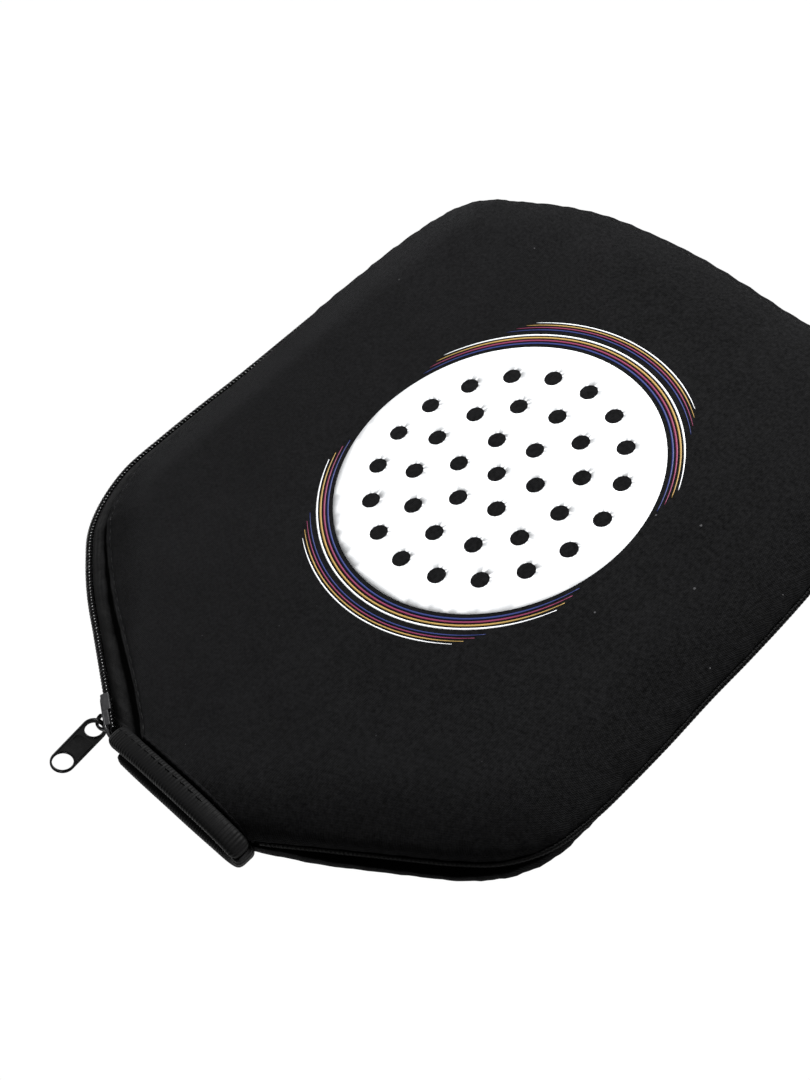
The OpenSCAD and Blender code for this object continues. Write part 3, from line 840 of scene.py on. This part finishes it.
def zipper_tape(name, s):
    L = np.arange(float(len_at(MA)) - 5.5, float(len_at(ZE - 1)), 1.1)
    i = at_len(L)
    e = edge(i)
    o = PANEL_T + 0.46
    sway = 0.16 * np.sin(L * 2 * math.pi / 11.3 + 1.7 * np.sin(L / 23.0)) + 0.08 * np.sin(L * 2 * math.pi / 4.1)
    gap = np.maximum(e - 5.0, 0)
    rows = [along(i, COIL_D + 0.45, s * 0.3), along(i, COIL_D + 0.45, s * 1.3), along(i, COIL_D + 0.5, s * 2.15),
            along(i, COIL_D + 1.0 + 0.1 * sway, s * (2.65 + 0.3 * sway))]
    # visible strip: soft rise, then down under the foam's edge
    q0 = shell(i, e - 0.3, o, s)
    k0 = along(i, COIL_D + 1.0, s * 2.65)
    rows.append(k0 * 0.6 + q0 * 0.4 + np.stack([0 * L, 0 * L, s * (0.55 + sway + 0.08 * gap)], -1))
    rows.append(k0 * 0.25 + q0 * 0.75 + np.stack([0 * L, 0 * L, s * (0.25 + 0.6 * sway)], -1))
    e2 = np.minimum(e + 4.7, roll(i, s) - 1.8)
    rows += [q0, shell(i, (e + e2) / 2, o, s), shell(i, e2, o, s)]
    mid = spline(np.stack(rows, 1), 26)
    U = np.repeat(L[:, None], 26, 1)
    V = np.concatenate([np.zeros((len(L), 1)), np.cumsum(np.linalg.norm(np.diff(mid, axis=1), axis=2), 1)], 1)
    ob = ribbon(name, mid, 0.56, M_TAPE, U, V, slot="zipper_tape")
    return ob


FTAPE = zipper_tape("front_tape_cloth", 1)
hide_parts("front_zipper_tape")
bend(FTAPE)
BTAPE = zipper_tape("back_tape_cloth", -1)
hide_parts("back_zipper_tape")
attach(BTAPE, "root")


def coil_mesh(name, s, phase):
    """Nylon coil: one filament wound in flat loops whose heads mesh with the other coil's."""
    s0, s1 = float(len_at(0.8)) + phase, float(len_at(ZE - 2))
    K = 14
    n = int((s1 - s0) / PITCH)
    th = np.arange(n * K + 1) / K
    ph = th % 1
    cz, cd = np.cos(2 * math.pi * ph), np.sin(2 * math.pi * ph)
    z = 1.1 - 1.47 * np.sign(cz) * np.abs(cz) ** 0.75
    d = COIL_D / 2 - 0.77 * np.sign(cd) * np.abs(cd) ** 0.8
    adv = np.floor(th) + smooth((ph - 0.3) / 0.45)
    L = s0 + PITCH * adv
    i = at_len(L)
    pts = along(i, d, s * z)
    head = np.exp(-((np.minimum(ph, 1 - ph)) / 0.1) ** 2)
    r = 0.31 + 0.02 * head
    bag = Bag()
    bag.add(*tube(pts, r, 6))
    # filler cord inside the loops
    Lc = np.arange(s0 + 0.4, s1 - 0.4, 0.9)
    bag.add(*tube(along(at_len(Lc), 1.12, s * 1.45), 0.6, 8, r2=1.22), 1)
    return bag.make(name, [M_COIL, M_CORD], slot="zipper_coil")


FCOIL = coil_mesh("front_coil_filament", 1, 0.0)
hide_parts("front_coil")
bend(FCOIL)
BCOIL = coil_mesh("back_coil_filament", -1, PITCH / 2)
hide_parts("back_coil")
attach(BCOIL, "root")


def coil_thread(name, s):
    """Chain stitch that holds the coil's legs to the tape."""
    s0, s1 = float(len_at(MA + 1)), float(len_at(ZE - 2.4))
    L = np.arange(s0, s1, PITCH / 4)
    k = np.arange(len(L))
    bag = Bag()
    for off in (1.35, 2.0):
        d = 0.06 + 0.07 * np.cos(k * math.pi / 2 + (0 if off < 1.6 else math.pi))
        V, F = tube(along(at_len(L), d, s * (off + 0.10 * np.sin(k * math.pi / 2))), 0.13, 5)
        bag.add(V, F)
    return bag.make(name, M_THREAD, slot="thread")


t = coil_thread("front_coil_stitch", 1)
bend(t)
t = coil_thread("back_coil_stitch", -1)
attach(t, "root")


# ---------------------------------------------------------------- plates with rounded edges
def plate(outlines, thick, bevel, res=3):
    """Verts and faces of a plate in the x-y plane with holes and rounded edges, centred on z = 0."""
    cu = bpy.data.curves.new("tmp_plate", "CURVE")
    cu.dimensions = "2D"
    cu.fill_mode = "BOTH"
    for k, o in enumerate(outlines):
        o = np.asarray(o, float)
        area = 0.5 * np.sum(o[:, 0] * np.roll(o[:, 1], -1) - np.roll(o[:, 0], -1) * o[:, 1])
        if (area > 0) != (k == 0):
            o = o[::-1]
        sp = cu.splines.new("POLY")
        sp.points.add(len(o) - 1)
        for p, q in zip(sp.points, o):
            p.co = (q[0], q[1], 0, 1)
        sp.use_cyclic_u = True
    cu.extrude = thick / 2 - bevel
    cu.bevel_depth = bevel
    cu.bevel_resolution = res
    cu.offset = -bevel
    ob = bpy.data.objects.new("tmp_plate", cu)
    bpy.context.scene.collection.objects.link(ob)
    bpy.context.view_layer.update()
    me = bpy.data.meshes.new_from_object(ob.evaluated_get(bpy.context.evaluated_depsgraph_get()))
    import bmesh
    bm = bmesh.new()
    bm.from_mesh(me)
    bmesh.ops.remove_doubles(bm, verts=bm.verts, dist=1e-4)
    bmesh.ops.recalc_face_normals(bm, faces=bm.faces)
    bm.verts.ensure_lookup_table()
    V = np.array([tuple(v.co) for v in bm.verts])
    F = [tuple(v.index for v in f.verts) for f in bm.faces]
    bm.free()
    bpy.data.objects.remove(ob)
    bpy.data.curves.remove(cu)
    bpy.data.meshes.remove(me)
    return V, F


def round_rect(x0, x1, y0, y1, r, n=6):
    out = []
    for cx, cy, a0 in ((x1 - r, y0 + r, -90), (x1 - r, y1 - r, 0), (x0 + r, y1 - r, 90), (x0 + r, y0 + r, 180)):
        for k in range(n + 1):
            a = math.radians(a0 + 90 * k / n)
            out.append((cx + r * math.cos(a), cy + r * math.sin(a)))
    return np.array(out)


def circle(cx, cy, r, n=48, a0=0.0, a1=360.0):
    a = np.radians(np.linspace(a0, a1, n, endpoint=abs(a1 - a0) < 360))
    return np.stack([cx + r * np.cos(a), cy + r * np.sin(a)], -1)


S_ORG = np.array([*tzip(8.3), SEAM_Z])
S_AX = np.array([[CZ, -SZ, 0], [SZ, CZ, 0], [0, 0, 1.0]])       # rows: x to the mouth, y into the case, z


def sf(V):
    return S_ORG + np.asarray(V, float) @ S_AX


def rot(ax, deg):
    return np.array(Matrix.Rotation(math.radians(deg), 3, ax))


def tf(V):
    """Pull tab frame: x along the tab, z through it."""
    V = np.asarray(V, float) @ rot("X", 110).T
    V = V @ rot("Y", 24).T
    V = V + np.array([3.05, 0, 0])
    V = V @ rot("Z", -79).T
    return sf(V + np.array([0, -0.9, 0]))


def stand(V, y0):
    """Plate drawn in x-y, set up in the slider's x-z plane with its middle at y0."""
    V = np.asarray(V, float)
    return np.stack([V[:, 0], y0 + V[:, 2], V[:, 1]], -1)


def slider_mesh():
    bag = Bag()
    # outer plate: shield shape, wider at the mouth end
    xs = [-7.25, -6.9, -6.0, -4.5, -2.0, 1.0, 4.0, 5.8, 6.8, 7.25]
    hs = [1.6, 2.6, 3.3, 3.75, 3.9, 4.0, 4.0, 3.6, 2.7, 1.4]
    top = spline(np.array([[x, h, 0] for x, h in zip(xs, hs)]), 40)[:, :2]
    out = np.concatenate([top, (top * [1, -1])[::-1]])
    V, F = plate([out], 0.65, 0.22)
    bag.add(sf(stand(V, -0.575)), F)
    # raised field on the outer plate
    V, F = plate([out * 0.72], 0.16, 0.06)
    bag.add(sf(stand(V, -0.91)), F)
    # inner plate
    V, F = plate([round_rect(-7.2, 7.2, -1.6, 1.6, 1.4)], 0.8, 0.25)
    bag.add(sf(stand(V, COIL_D + 1.35)), F)
    # flanges, with a step down towards the mouth end
    for s in (1, -1):
        V, F = plate([round_rect(-7.0, -0.6, -0.55, 2.1, 0.5)], 0.9, 0.28)
        V[:, 2] += s * 3.6
        bag.add(sf(V), F)
        V, F = plate([round_rect(-1.4, 4.75, -0.5, 1.1, 0.4)], 0.7, 0.22)
        V[:, 2] += s * 3.6
        bag.add(sf(V), F)
    # divider post between the plates
    V, F = plate([round_rect(3.3, 5.8, -0.3, 3.2, 0.4)], 0.44, 0.12)
    bag.add(sf(V), F)
    return bag.make("slider_casting", M_SLIDER, slot="slider_paint", body="slider")


SL = slider_mesh()
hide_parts("slider_body")


def crown_mesh():
    bag = Bag()
    a = np.radians(np.linspace(6, -176 + 17, 40))
    R = 3.05
    mid = np.stack([R * np.cos(a), R * np.sin(a) * 1.0, 0 * a], -1)
    r = 0.47 + 0.0 * a
    # squared bar: superellipse section
    n = len(mid)
    ang = np.linspace(0, 2 * math.pi, 16, endpoint=False)
    cx = np.sign(np.cos(ang)) * np.abs(np.cos(ang)) ** 0.6 * 0.45
    cz = np.sign(np.sin(ang)) * np.abs(np.sin(ang)) ** 0.6 * 0.7
    rad = np.stack([np.cos(a), np.sin(a), 0 * a], -1)
    endk = np.ones(n)
    endk[-1], endk[-2] = 0.55, 0.86
    V = (mid[:, None] + rad[:, None] * (cx[None, :, None] * endk[:, None, None]) + np.array([0, 0, 1.0]) * (cz[None, :, None] * endk[:, None, None])).reshape(-1, 3)
    F = grid_faces(n, 16, wrap=True)
    F.append(tuple(range(16)))
    F.append(tuple((n - 1) * 16 + c for c in range(16))[::-1])
    bag.add(sf(V + np.array([0, -0.9, 0])), F)
    # feet where the hook leaves the plate
    V, F = plate([round_rect(2.0, 4.1, -0.95, 0.95, 0.4)], 0.3, 0.12)
    bag.add(sf(stand(V, -0.93)), F)
    ob = bag.make("slider_hook", M_SLIDER, slot="slider_paint", body="slider")
    fix_normals(ob)
    return ob


CR = crown_mesh()
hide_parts("slider_crown")


def tab_mesh():
    W, Lc, T, root = 7.7, 22 - 7.7, 1.2, 1.75
    a = np.concatenate([circle(Lc, 0, W / 2, 28, -90, 90), circle(0, 0, W / 2, 28, 90, 270)])
    ring_hole = circle(0, 0, 2.7, 40)
    end_hole = circle(Lc, 0, 3.2, 44)
    # sunk field between the holes, its ends following the end hole and squared at the ring
    f = [(4.3, -W / 2 + 0.75)]
    aa = np.radians(np.linspace(-128, -232, 15))
    arc = [(Lc + 3.75 * math.cos(t), 3.75 * math.sin(t)) for t in aa]
    arc = [p for p in arc if abs(p[1]) < W / 2 - 0.8]
    f += arc + [(4.3, W / 2 - 0.75), (3.6, W / 2 - 1.6), (3.6, -W / 2 + 1.6)]
    field = np.array(f)
    bag = Bag()
    V, F = plate([a, ring_hole, end_hole, field], T, 0.26)
    bag.add(tf(V + np.array([root, 0, 0])), F)
    c = field.mean(0)
    V, F = plate([c + (field - c) * 1.06], T - 0.5, 0.05, 1)
    bag.add(tf(V + np.array([root, 0, 0])), F)
    return bag.make("pull_tab_casting", M_TAB, slot="pull_tab", body="tab")


TB = tab_mesh()
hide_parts("pull_tab")


def small_plate(name, mat, slot_name, node, parts, bend_it=False, body="root"):
    bag = Bag()
    for V, F in parts:
        bag.add(V, F)
    ob = bag.make(name, mat, slot=slot_name)
    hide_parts(node)
    if bend_it:
        bend(ob)
    else:
        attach(ob, body)
    return ob


def top_stop_parts(s):
    out = []
    V, F = plate([round_rect(8.6, 10.4, 0.5 if s > 0 else -2.9, 2.9 if s > 0 else -0.5, 0.35)], 0.75, 0.22)
    out.append((sf(stand(V, 0.25)), F))
    V, F = plate([round_rect(8.6, 10.4, -0.1, COIL_D, 0.3)], 0.7, 0.22)
    out.append((sf(V + np.array([0, 0, s * 2.6])), F))
    V, F = plate([round_rect(8.6, 10.4, -0.1, COIL_D, 0.3)], 0.6, 0.2)
    out.append((sf(V + np.array([0, 0, s * 0.8])), F))
    return out


small_plate("front_top_stop_clip", M_STOP, "stop_metal", "front_top_stop", top_stop_parts(1), True)
small_plate("back_top_stop_clip", M_STOP, "stop_metal", "back_top_stop", top_stop_parts(-1))


def end_place(i, V):
    p, t, n = path(i), tangent(i), normal(i)
    V = np.asarray(V, float)
    # x along the outline, y outwards, z up
    return np.stack([p[0] + t[0] * V[:, 0] - n[0] * V[:, 1], p[1] + t[1] * V[:, 0] - n[1] * V[:, 1], SEAM_Z + V[:, 2]], -1)


def bottom_stop_parts():
    out = []
    V, F = plate([round_rect(-4.3, -1.5, -3.0, 3.0, 0.5)], 0.8, 0.25)
    out.append((end_place(ZE - 1, np.stack([V[:, 0], -0.35 + V[:, 2], V[:, 1]], -1)), F))
    V, F = plate([round_rect(-4.3, -1.5, -2.8, 2.8, 0.5)], 0.7, 0.25)
    out.append((end_place(ZE - 1, np.stack([V[:, 0], -1.75 + V[:, 2], V[:, 1]], -1)), F))
    for z in (-2.6, 2.6):
        V, F = plate([round_rect(-4.3, -1.5, -1.9, -0.2, 0.3)], 0.7, 0.2)
        V[:, 2] += z
        out.append((end_place(ZE - 1, V), F))
    return out


small_plate("bottom_stop_clip", M_STOP, "stop_metal", "bottom_stop", bottom_stop_parts())


def tack_parts():
    out = []
    for k in range(9):
        x = -0.75 + 0.19 * k
        z = np.linspace(-1.7, 1.7, 9)
        y = 0.75 + 0.35 * np.cos(z / 1.7 * math.pi / 2) - 0.25
        pts = end_place(ZE + 1, np.stack([x + 0.05 * np.sin(z * 3 + k), y, z], -1))
        out.append(tube(pts, 0.13, 6))
    return out


small_plate("zipper_end_bartack", M_THREAD, "thread", "zipper_end_tack", tack_parts())


# ---------------------------------------------------------------- stitching
def surf(i, dd, lift, s):
    """Point on the panel's sewn surface at plan distance dd, lifted along the normal."""
    i, dd = np.broadcast_arrays(np.asarray(i, float), np.asarray(dd, float))
    P = shell(i, dd, 0.0, s)
    _, _, a = profile(i, dd, 0.0, s)
    n = np.concatenate([-inward(i) * np.sin(a)[..., None], (s * np.cos(a))[..., None]], -1)
    return P + n * (disp_rim(i, dd, P, s) + lift)[..., None]


def top_stitch(name, s, node):
    bag = Bag()
    s0, s1 = float(len_at(MA + 0.6)), float(len_at(ZE - 1.5))
    L = s0
    k = 0
    while L < s1 - 3:
        t = np.linspace(0, 1, 7)
        i = at_len(L + 2.5 * t)
        lift = 0.10 - 0.42 * (2 * t - 1) ** 4
        jog = 0.06 * math.sin(k * 2.1)
        V, F = tube(surf(i, edge(i) + 1.3 + jog, lift, s), 0.17, 6)
        bag.add(V, F)
        L += 3.0
        k += 1
    ob = bag.make(name, M_THREAD, slot="thread")
    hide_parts(node)
    return ob


t = top_stitch("front_tape_topstitch", 1, "front_tape_stitching")
bend(t)
t = top_stitch("back_tape_topstitch", -1, "back_tape_stitching")
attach(t, "root")


def seam_point(i, z, lift):
    """Point on the sewn side at height z over the seam line."""
    i, z = np.broadcast_arrays(np.asarray(i, float), np.asarray(z, float))
    out = np.zeros(i.shape + (3,))
    for s in (1, -1):
        m = (z >= 0) if s > 0 else (z < 0)
        if not m.any():
            continue
        ii, zz = i[m], np.abs(z[m])
        w, h, q = roll(ii, s), (CASE_T - SEAM_Z if s > 0 else SEAM_Z), power(ii, s)
        d = w * (1 - np.sqrt(np.maximum(1 - (zz / h) ** (1 / q), 0)))
        d = np.maximum(d, 0.2)
        P = shell(ii, d, 0.0, s)
        P[:, 2] = SEAM_Z + s * zz
        nn = np.concatenate([-inward(ii), np.zeros((len(ii), 1))], -1)
        out[m] = P + nn * (disp_rim(ii, d, P, s) + lift)[..., None]
    return out


def ridge(i, phi, rho):
    """Point on the overlocked ridge; phi is 0 outwards and 90 degrees on top."""
    phi = np.broadcast_to(np.asarray(phi, float), np.asarray(i).shape)
    return along(i, 0.45 - (0.62 + rho) * np.cos(phi), (0.72 + rho) * np.sin(phi))


def seam_ladder():
    """Overlocked seam: a cord of trimmed edges wrapped by fine V stitches."""
    bag = Bag()
    s0, s1 = float(len_at(ZE + 1.2)), float(len_at(MB - 0.4))
    L = np.arange(s0, s1, 1.0)
    bag.add(*tube(ridge(at_len(L), 0.0, -0.62), 0.62, 10, r2=0.72))
    pitch = 1.3
    phi = np.radians(np.linspace(-70, 165, 9))
    u = (phi - phi[0]) / (phi[-1] - phi[0])
    for k in range(int((s1 - s0 - 1.5) / pitch)):
        L0 = s0 + pitch * k + 0.5 + 0.05 * math.sin(k * 1.7)
        for a, r in ((0.62, 0.11), (-0.62, 0.13)):
            rho = 0.06 + 0.07 * np.sin(math.pi * u) + (0.03 if a > 0 else -0.02)
            bag.add(*tube(ridge(at_len(L0 + a * (u - 0.5)), phi, rho), r, 5))
    # needle rows: one on the ridge's inner shoulder, one along its crest
    for ph, r in ((math.radians(150), 0.17), (math.radians(62), 0.12), (math.radians(-60), 0.14)):
        L = np.arange(s0, s1, 0.325)
        w = (L - s0) / pitch * 2 * math.pi
        bag.add(*tube(ridge(at_len(L), ph + 0.10 * np.sin(w), 0.10 + 0.05 * np.cos(w)), r, 5))
    ob = bag.make("side_seam_overlock", M_OVER, slot="thread", body="root")
    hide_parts("side_seam_thread")
    return ob


def seam_out(i, lift):
    i = np.asarray(i, float)
    return np.concatenate([-normal(i), np.zeros(i.shape + (1,))], -1) * np.broadcast_to(lift, i.shape)[..., None]


seam_ladder()


# ---------------------------------------------------------------- mouth binding
BY1 = MOUTH_Y - 0.12
BIND_W, BIND_T = 6.8, 4.6
MX = {-1: -float(path(MA)[0]), 1: float(path(MB)[0])}


def mouth_curve(s, a_zip, a_seam, step):
    """Points and outward normals along the mouth, evenly spaced, in the x-z plane."""
    def arc(q, a):
        w = (32 if q < 0 else 30) if s > 0 else (30 if q < 0 else 12)
        h = CASE_T - SEAM_Z if s > 0 else SEAM_Z
        a = np.radians(a)
        nn = unit(np.stack([np.cos(a) / w, np.sin(a) / h], -1))
        return np.stack([q * (MX[q] - w * (1 - np.cos(a))), s * h * np.sin(a), q * nn[:, 0], s * nn[:, 1]], -1)
    P = np.concatenate([arc(-1, np.linspace(a_zip, 90, 60)), arc(1, np.linspace(90, a_seam, 90))])
    ds = np.linalg.norm(np.diff(P[:, :2], axis=0), axis=1)
    keep = np.concatenate([[True], ds > 1e-6])
    P = P[keep]
    L = np.concatenate([[0], np.cumsum(np.linalg.norm(np.diff(P[:, :2], axis=0), axis=1))])
    n = int(L[-1] / step)
    t = np.linspace(0, L[-1], n + 1)
    Q = np.stack([np.interp(t, L, P[:, k]) for k in range(4)], -1)
    Q[:, 2:] = unit(Q[:, 2:])
    return t, Q


def binding(name, s, over, node):
    """Ribbed elastic folded over the mouth's edge."""
    L, Q = mouth_curve(s, 55 if s > 0 else 42, 1.5, 0.19)
    n = len(L)
    ang = np.linspace(0, 2 * math.pi, 28, endpoint=False)
    ce, se = np.cos(ang), np.sin(ang)
    ey = np.sign(ce) * np.abs(ce) ** 0.62 * (BIND_W / 2)
    en = np.sign(se) * np.abs(se) ** 0.72 * (BIND_T / 2)
    # irregular ribs, pitch about 1.1 mm, that fade where the band turns under
    ph = 2 * math.pi * (L / 1.12) + 0.9 * np.sin(L / 3.1) + 0.7 * np.sin(L / 7.7 + 1)
    rib = np.sign(np.sin(ph)) * np.abs(np.sin(ph)) ** 0.8
    grow = 0.045 * rib[:, None] * (0.35 + 0.65 * (np.abs(ce)[None] ** 0.5)) + 0.05 * np.sin(L / 5.3 + 1)[:, None] * np.ones(28)[None]
    tuck = 0.10 * np.sin(2 * math.pi * L / 3.4)[:, None] * np.exp(-((ey[None] - 1.9) / 0.7) ** 2) * (en[None] > 0)
    # ends taper in a little where the band is sewn down
    e0 = np.minimum(1, 0.72 + 0.28 * np.sqrt(np.clip(L / 2.0, 0, 1)))
    e1 = np.minimum(1, 0.72 + 0.28 * np.sqrt(np.clip((L[-1] - L) / 2.0, 0, 1)))
    k = (e0 * e1)[:, None]
    yy = BY1 - BIND_W / 2 + ey[None] * k * (1 + grow / 3.4)
    nn = over - BIND_T / 2 + en[None] * k * (1 + grow / 2.3) - tuck
    nn = nn + 0.10 * np.sin(L / 9.0 + 0.6)[:, None]
    nn = nn + (1.6 if s < 0 else 0.7) * np.exp(-((L[-1] - L) / 7.0) ** 2)[:, None]
    V = np.stack([Q[:, 0:1] + Q[:, 2:3] * nn, yy, SEAM_Z + Q[:, 1:2] + Q[:, 3:4] * nn], -1)
    F = grid_faces(n, 28, wrap=True)
    F.append(tuple(range(28)))
    F.append(tuple((n - 1) * 28 + c for c in range(28))[::-1])
    ob = make(name, V.reshape(-1, 3), F, M_BIND if s > 0 else M_BIND_BACK, slot="binding")
    fix_normals(ob)
    set_attr(ob, "v", np.repeat(ph / (2 * math.pi) * 0.8, 28))
    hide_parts(node)
    return ob


t = binding("front_binding_elastic", 1, 0.7, "front_mouth_binding")
bend(t)
t = binding("back_binding_elastic", -1, 0.0, "back_mouth_binding")
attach(t, "root")


def hem():
    L, Q = mouth_curve(1, 76, 1.5, 0.3)
    n = len(L)
    ang = np.linspace(0, 2 * math.pi, 12, endpoint=False)
    wv = 0.10 * np.sin(2 * math.pi * L / 2.6) + 0.07 * np.sin(L / 4.0)
    yy = MOUTH_Y + 0.85 + 0.55 * np.cos(ang)[None] + 0.6 * wv[:, None]
    nn = 0.28 + 0.5 * np.sin(ang)[None] * (1 + 0.8 * wv[:, None])
    V = np.stack([Q[:, 0:1] + Q[:, 2:3] * nn, yy, SEAM_Z + Q[:, 1:2] + Q[:, 3:4] * nn], -1)
    F = grid_faces(n, 12, wrap=True)
    F.append(tuple(range(12)))
    F.append(tuple((n - 1) * 12 + c for c in range(12))[::-1])
    ob = make("front_hem_fold", V.reshape(-1, 3), F, M_NEO, slot="neoprene")
    fix_normals(ob)
    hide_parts("front_mouth_hem")
    bend(ob)


hem()


def binding_stitch():
    bag = Bag()
    L, Q = mouth_curve(1, 46, 1.5, 0.19)
    for k in range(12):
        x = -17 + 3.4 * k
        j0 = int(np.argmin(np.abs(Q[:, 0] - (x - 1.2)) + 100 * (Q[:, 1] < 3)))
        j1 = int(np.argmin(np.abs(Q[:, 0] - (x + 1.2)) + 100 * (Q[:, 1] < 3)))
        idx = np.linspace(j0, j1, 8).astype(int)
        t = np.linspace(-1, 1, 8)
        q = Q[idx]
        nn = 0.78 - 0.45 * t ** 4
        pts = np.stack([q[:, 0] + q[:, 2] * nn, BY1 - 1.7 + 0.08 * t, SEAM_Z + q[:, 1] + q[:, 3] * nn], -1)
        V, F = tube(pts, 0.18, 6)
        bag.add(V, F)
    ob = bag.make("binding_topstitch", M_THREAD, slot="thread")
    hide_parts("binding_stitches")
    bend(ob)


binding_stitch()


# ---------------------------------------------------------------- printed graphic: plain disc with dots, thin rings
PC = np.array([10.0, 15.0])


def film(name, pts, tris, mat, lift=0.11, thick=0.07):
    pts = np.asarray(pts, float)
    z = CASE_T + wob(pts[:, 0], pts[:, 1])
    n = len(pts)
    V = np.concatenate([np.column_stack([pts, z + lift]), np.column_stack([pts, z + lift - thick])])
    F = [tuple(t) for t in tris] + [tuple(n + v for v in t[::-1]) for t in tris]
    cnt = {}
    for t in tris:
        for a, b in zip(t, t[1:] + t[:1]):
            cnt[(a, b)] = 1
    for (a, b) in cnt:
        if (b, a) not in cnt:
            F.append((b, a, n + a, n + b))
    ob = make(name, V, F, mat, slot="neoprene")
    fix_normals(ob)
    bend(ob)
    return ob


def print_disc():
    R = 51.0
    loop = circle(*PC, R, 160)
    dots = [(PC[0], PC[1], 2.9)]
    for rr, cnt, a0, dr in ((13.5, 6, 15, 2.9), (26.5, 12, 0, 2.9), (39.0, 18, 8, 2.9)):
        for k in range(cnt):
            a = math.radians(a0 + 360 * k / cnt)
            dots.append((PC[0] + rr * math.cos(a), PC[1] + rr * math.sin(a), dr))
    loops = [loop] + [circle(x, y, r, 28) for x, y, r in dots]
    allv, edges, n0 = [], [], 0
    for lp in loops:
        m = len(lp)
        allv += [Vector(p) for p in lp.tolist()]
        edges += [(n0 + k, n0 + (k + 1) % m) for k in range(m)]
        n0 += m
    g = 2.7
    for r, y in enumerate(np.arange(PC[1] - R, PC[1] + R, g * 0.866)):
        for x in np.arange(PC[0] - R + (g / 2 if r % 2 else 0), PC[0] + R, g):
            if math.hypot(x - PC[0], y - PC[1]) > R - 1.2:
                continue
            if any(math.hypot(x - a, y - b) < c + 0.9 for a, b, c in dots):
                continue
            allv.append(Vector((float(x), float(y))))
    vo, eo, fo, ov, oe, of = geometry.delaunay_2d_cdt(allv, edges, [], 1, 1e-5)
    pts = np.array([tuple(v) for v in vo])
    tris = []
    for f in fo:
        c = pts[list(f)].mean(0)
        if any(math.hypot(c[0] - a, c[1] - b) < r * 0.97 for a, b, r in dots):
            continue
        tris.append(tuple(int(v) for v in f))
    film("print_disc", pts, tris, M_WHITE)


def print_rings():
    cols = [M_BLUE, M_MAG, M_YEL, M_WHITE]
    names = ["blue", "magenta", "yellow", "white"]
    groups = [(52.6, 1.15, 0.62, [(18, 162), (198, 342)]), (58.2, 1.0, 0.45, [(48, 132), (228, 312)])]
    for ci in range(4):
        pts, tris = [], []
        for r0, dr, w, arcs in groups:
            r = r0 + dr * ci
            for a0, a1 in arcs:
                sh = 3.0 * ci
                n = int((a1 - a0) / 1.5)
                aa = np.radians(np.linspace(a0 + sh, a1 - sh, n + 1))
                b = len(pts)
                for k, a in enumerate(aa):
                    # lines thin out towards their ends
                    t = min(k, n - k) / n * 2
                    ww = w * (0.35 + 0.65 * min(1, t * 3))
                    for q in (-0.5, 0.5):
                        rr = r + q * ww
                        pts.append((PC[0] + rr * math.cos(a), PC[1] + rr * math.sin(a)))
                for k in range(n):
                    q = (b + 2 * k, b + 2 * k + 1, b + 2 * k + 3, b + 2 * k + 2)
                    tris += [(q[0], q[1], q[2]), (q[0], q[2], q[3])]
        film("print_ring_" + names[ci], pts, tris, cols[ci])


print_disc()
print_rings()

for n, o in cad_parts.items():
    if o.hide_render:
        continue
    raise RuntimeError("plain CAD node left showing: " + n)


# ---------------------------------------------------------------- stage, light, camera
def stage_floor():
    bpy.ops.mesh.primitive_plane_add(size=40, location=(0, 0, -0.0004))
    f = bpy.context.object
    f.name = "floor"
    m = bpy.data.materials.new("floor_white")
    m.use_nodes = True
    nt = m.node_tree
    nt.nodes.clear()
    out = nt.nodes.new("ShaderNodeOutputMaterial")
    e = nt.nodes.new("ShaderNodeEmission")
    e.inputs["Color"].default_value = (1, 1, 1, 1)
    e.inputs["Strength"].default_value = 1.01
    nt.links.new(e.outputs[0], out.inputs[0])
    f.data.materials.append(m)
    return f


stage_floor()
world = bpy.data.worlds.new("studio")
bpy.context.scene.world = world
world.use_nodes = True
bg = world.node_tree.nodes["Background"]
bg.inputs[0].default_value = (1, 1, 1, 1)
bg.inputs[1].default_value = 0.11


def area(name, loc, target, size, power, col=(1, 1, 1)):
    l = bpy.data.lights.new(name, "AREA")
    l.shape = "RECTANGLE"
    l.size, l.size_y = size
    l.energy = power
    l.color = col
    o = bpy.data.objects.new(name, l)
    bpy.context.scene.collection.objects.link(o)
    o.location = loc
    d = Vector(target) - Vector(loc)
    o.rotation_euler = d.to_track_quat("-Z", "Y").to_euler()
    return o


area("key_far", (0.10, 0.70, 0.80), (0, 0, 0), (0.35, 0.35), 31)

cam_d = bpy.data.cameras.new("camera")
cam = bpy.data.objects.new("camera", cam_d)
bpy.context.scene.collection.objects.link(cam)
RIGHT = Vector((0.65619131, 0.70111347, -0.27902126))
UP = Vector((-0.44351855, 0.65749870, 0.60908682))
BACKV = Vector((0.61049509, -0.27592638, 0.74240176))
mat = Matrix((
    (RIGHT.x, UP.x, BACKV.x, 0.35998737),
    (RIGHT.y, UP.y, BACKV.y, -0.17917899),
    (RIGHT.z, UP.z, BACKV.z, 0.45556297),
    (0, 0, 0, 1)))
cam.matrix_world = mat
cam_d.sensor_width = 36
cam_d.lens = 66.18
cam_d.clip_start = 0.01
bpy.context.scene.camera = cam
bpy.context.scene.view_settings.view_transform = "Standard"
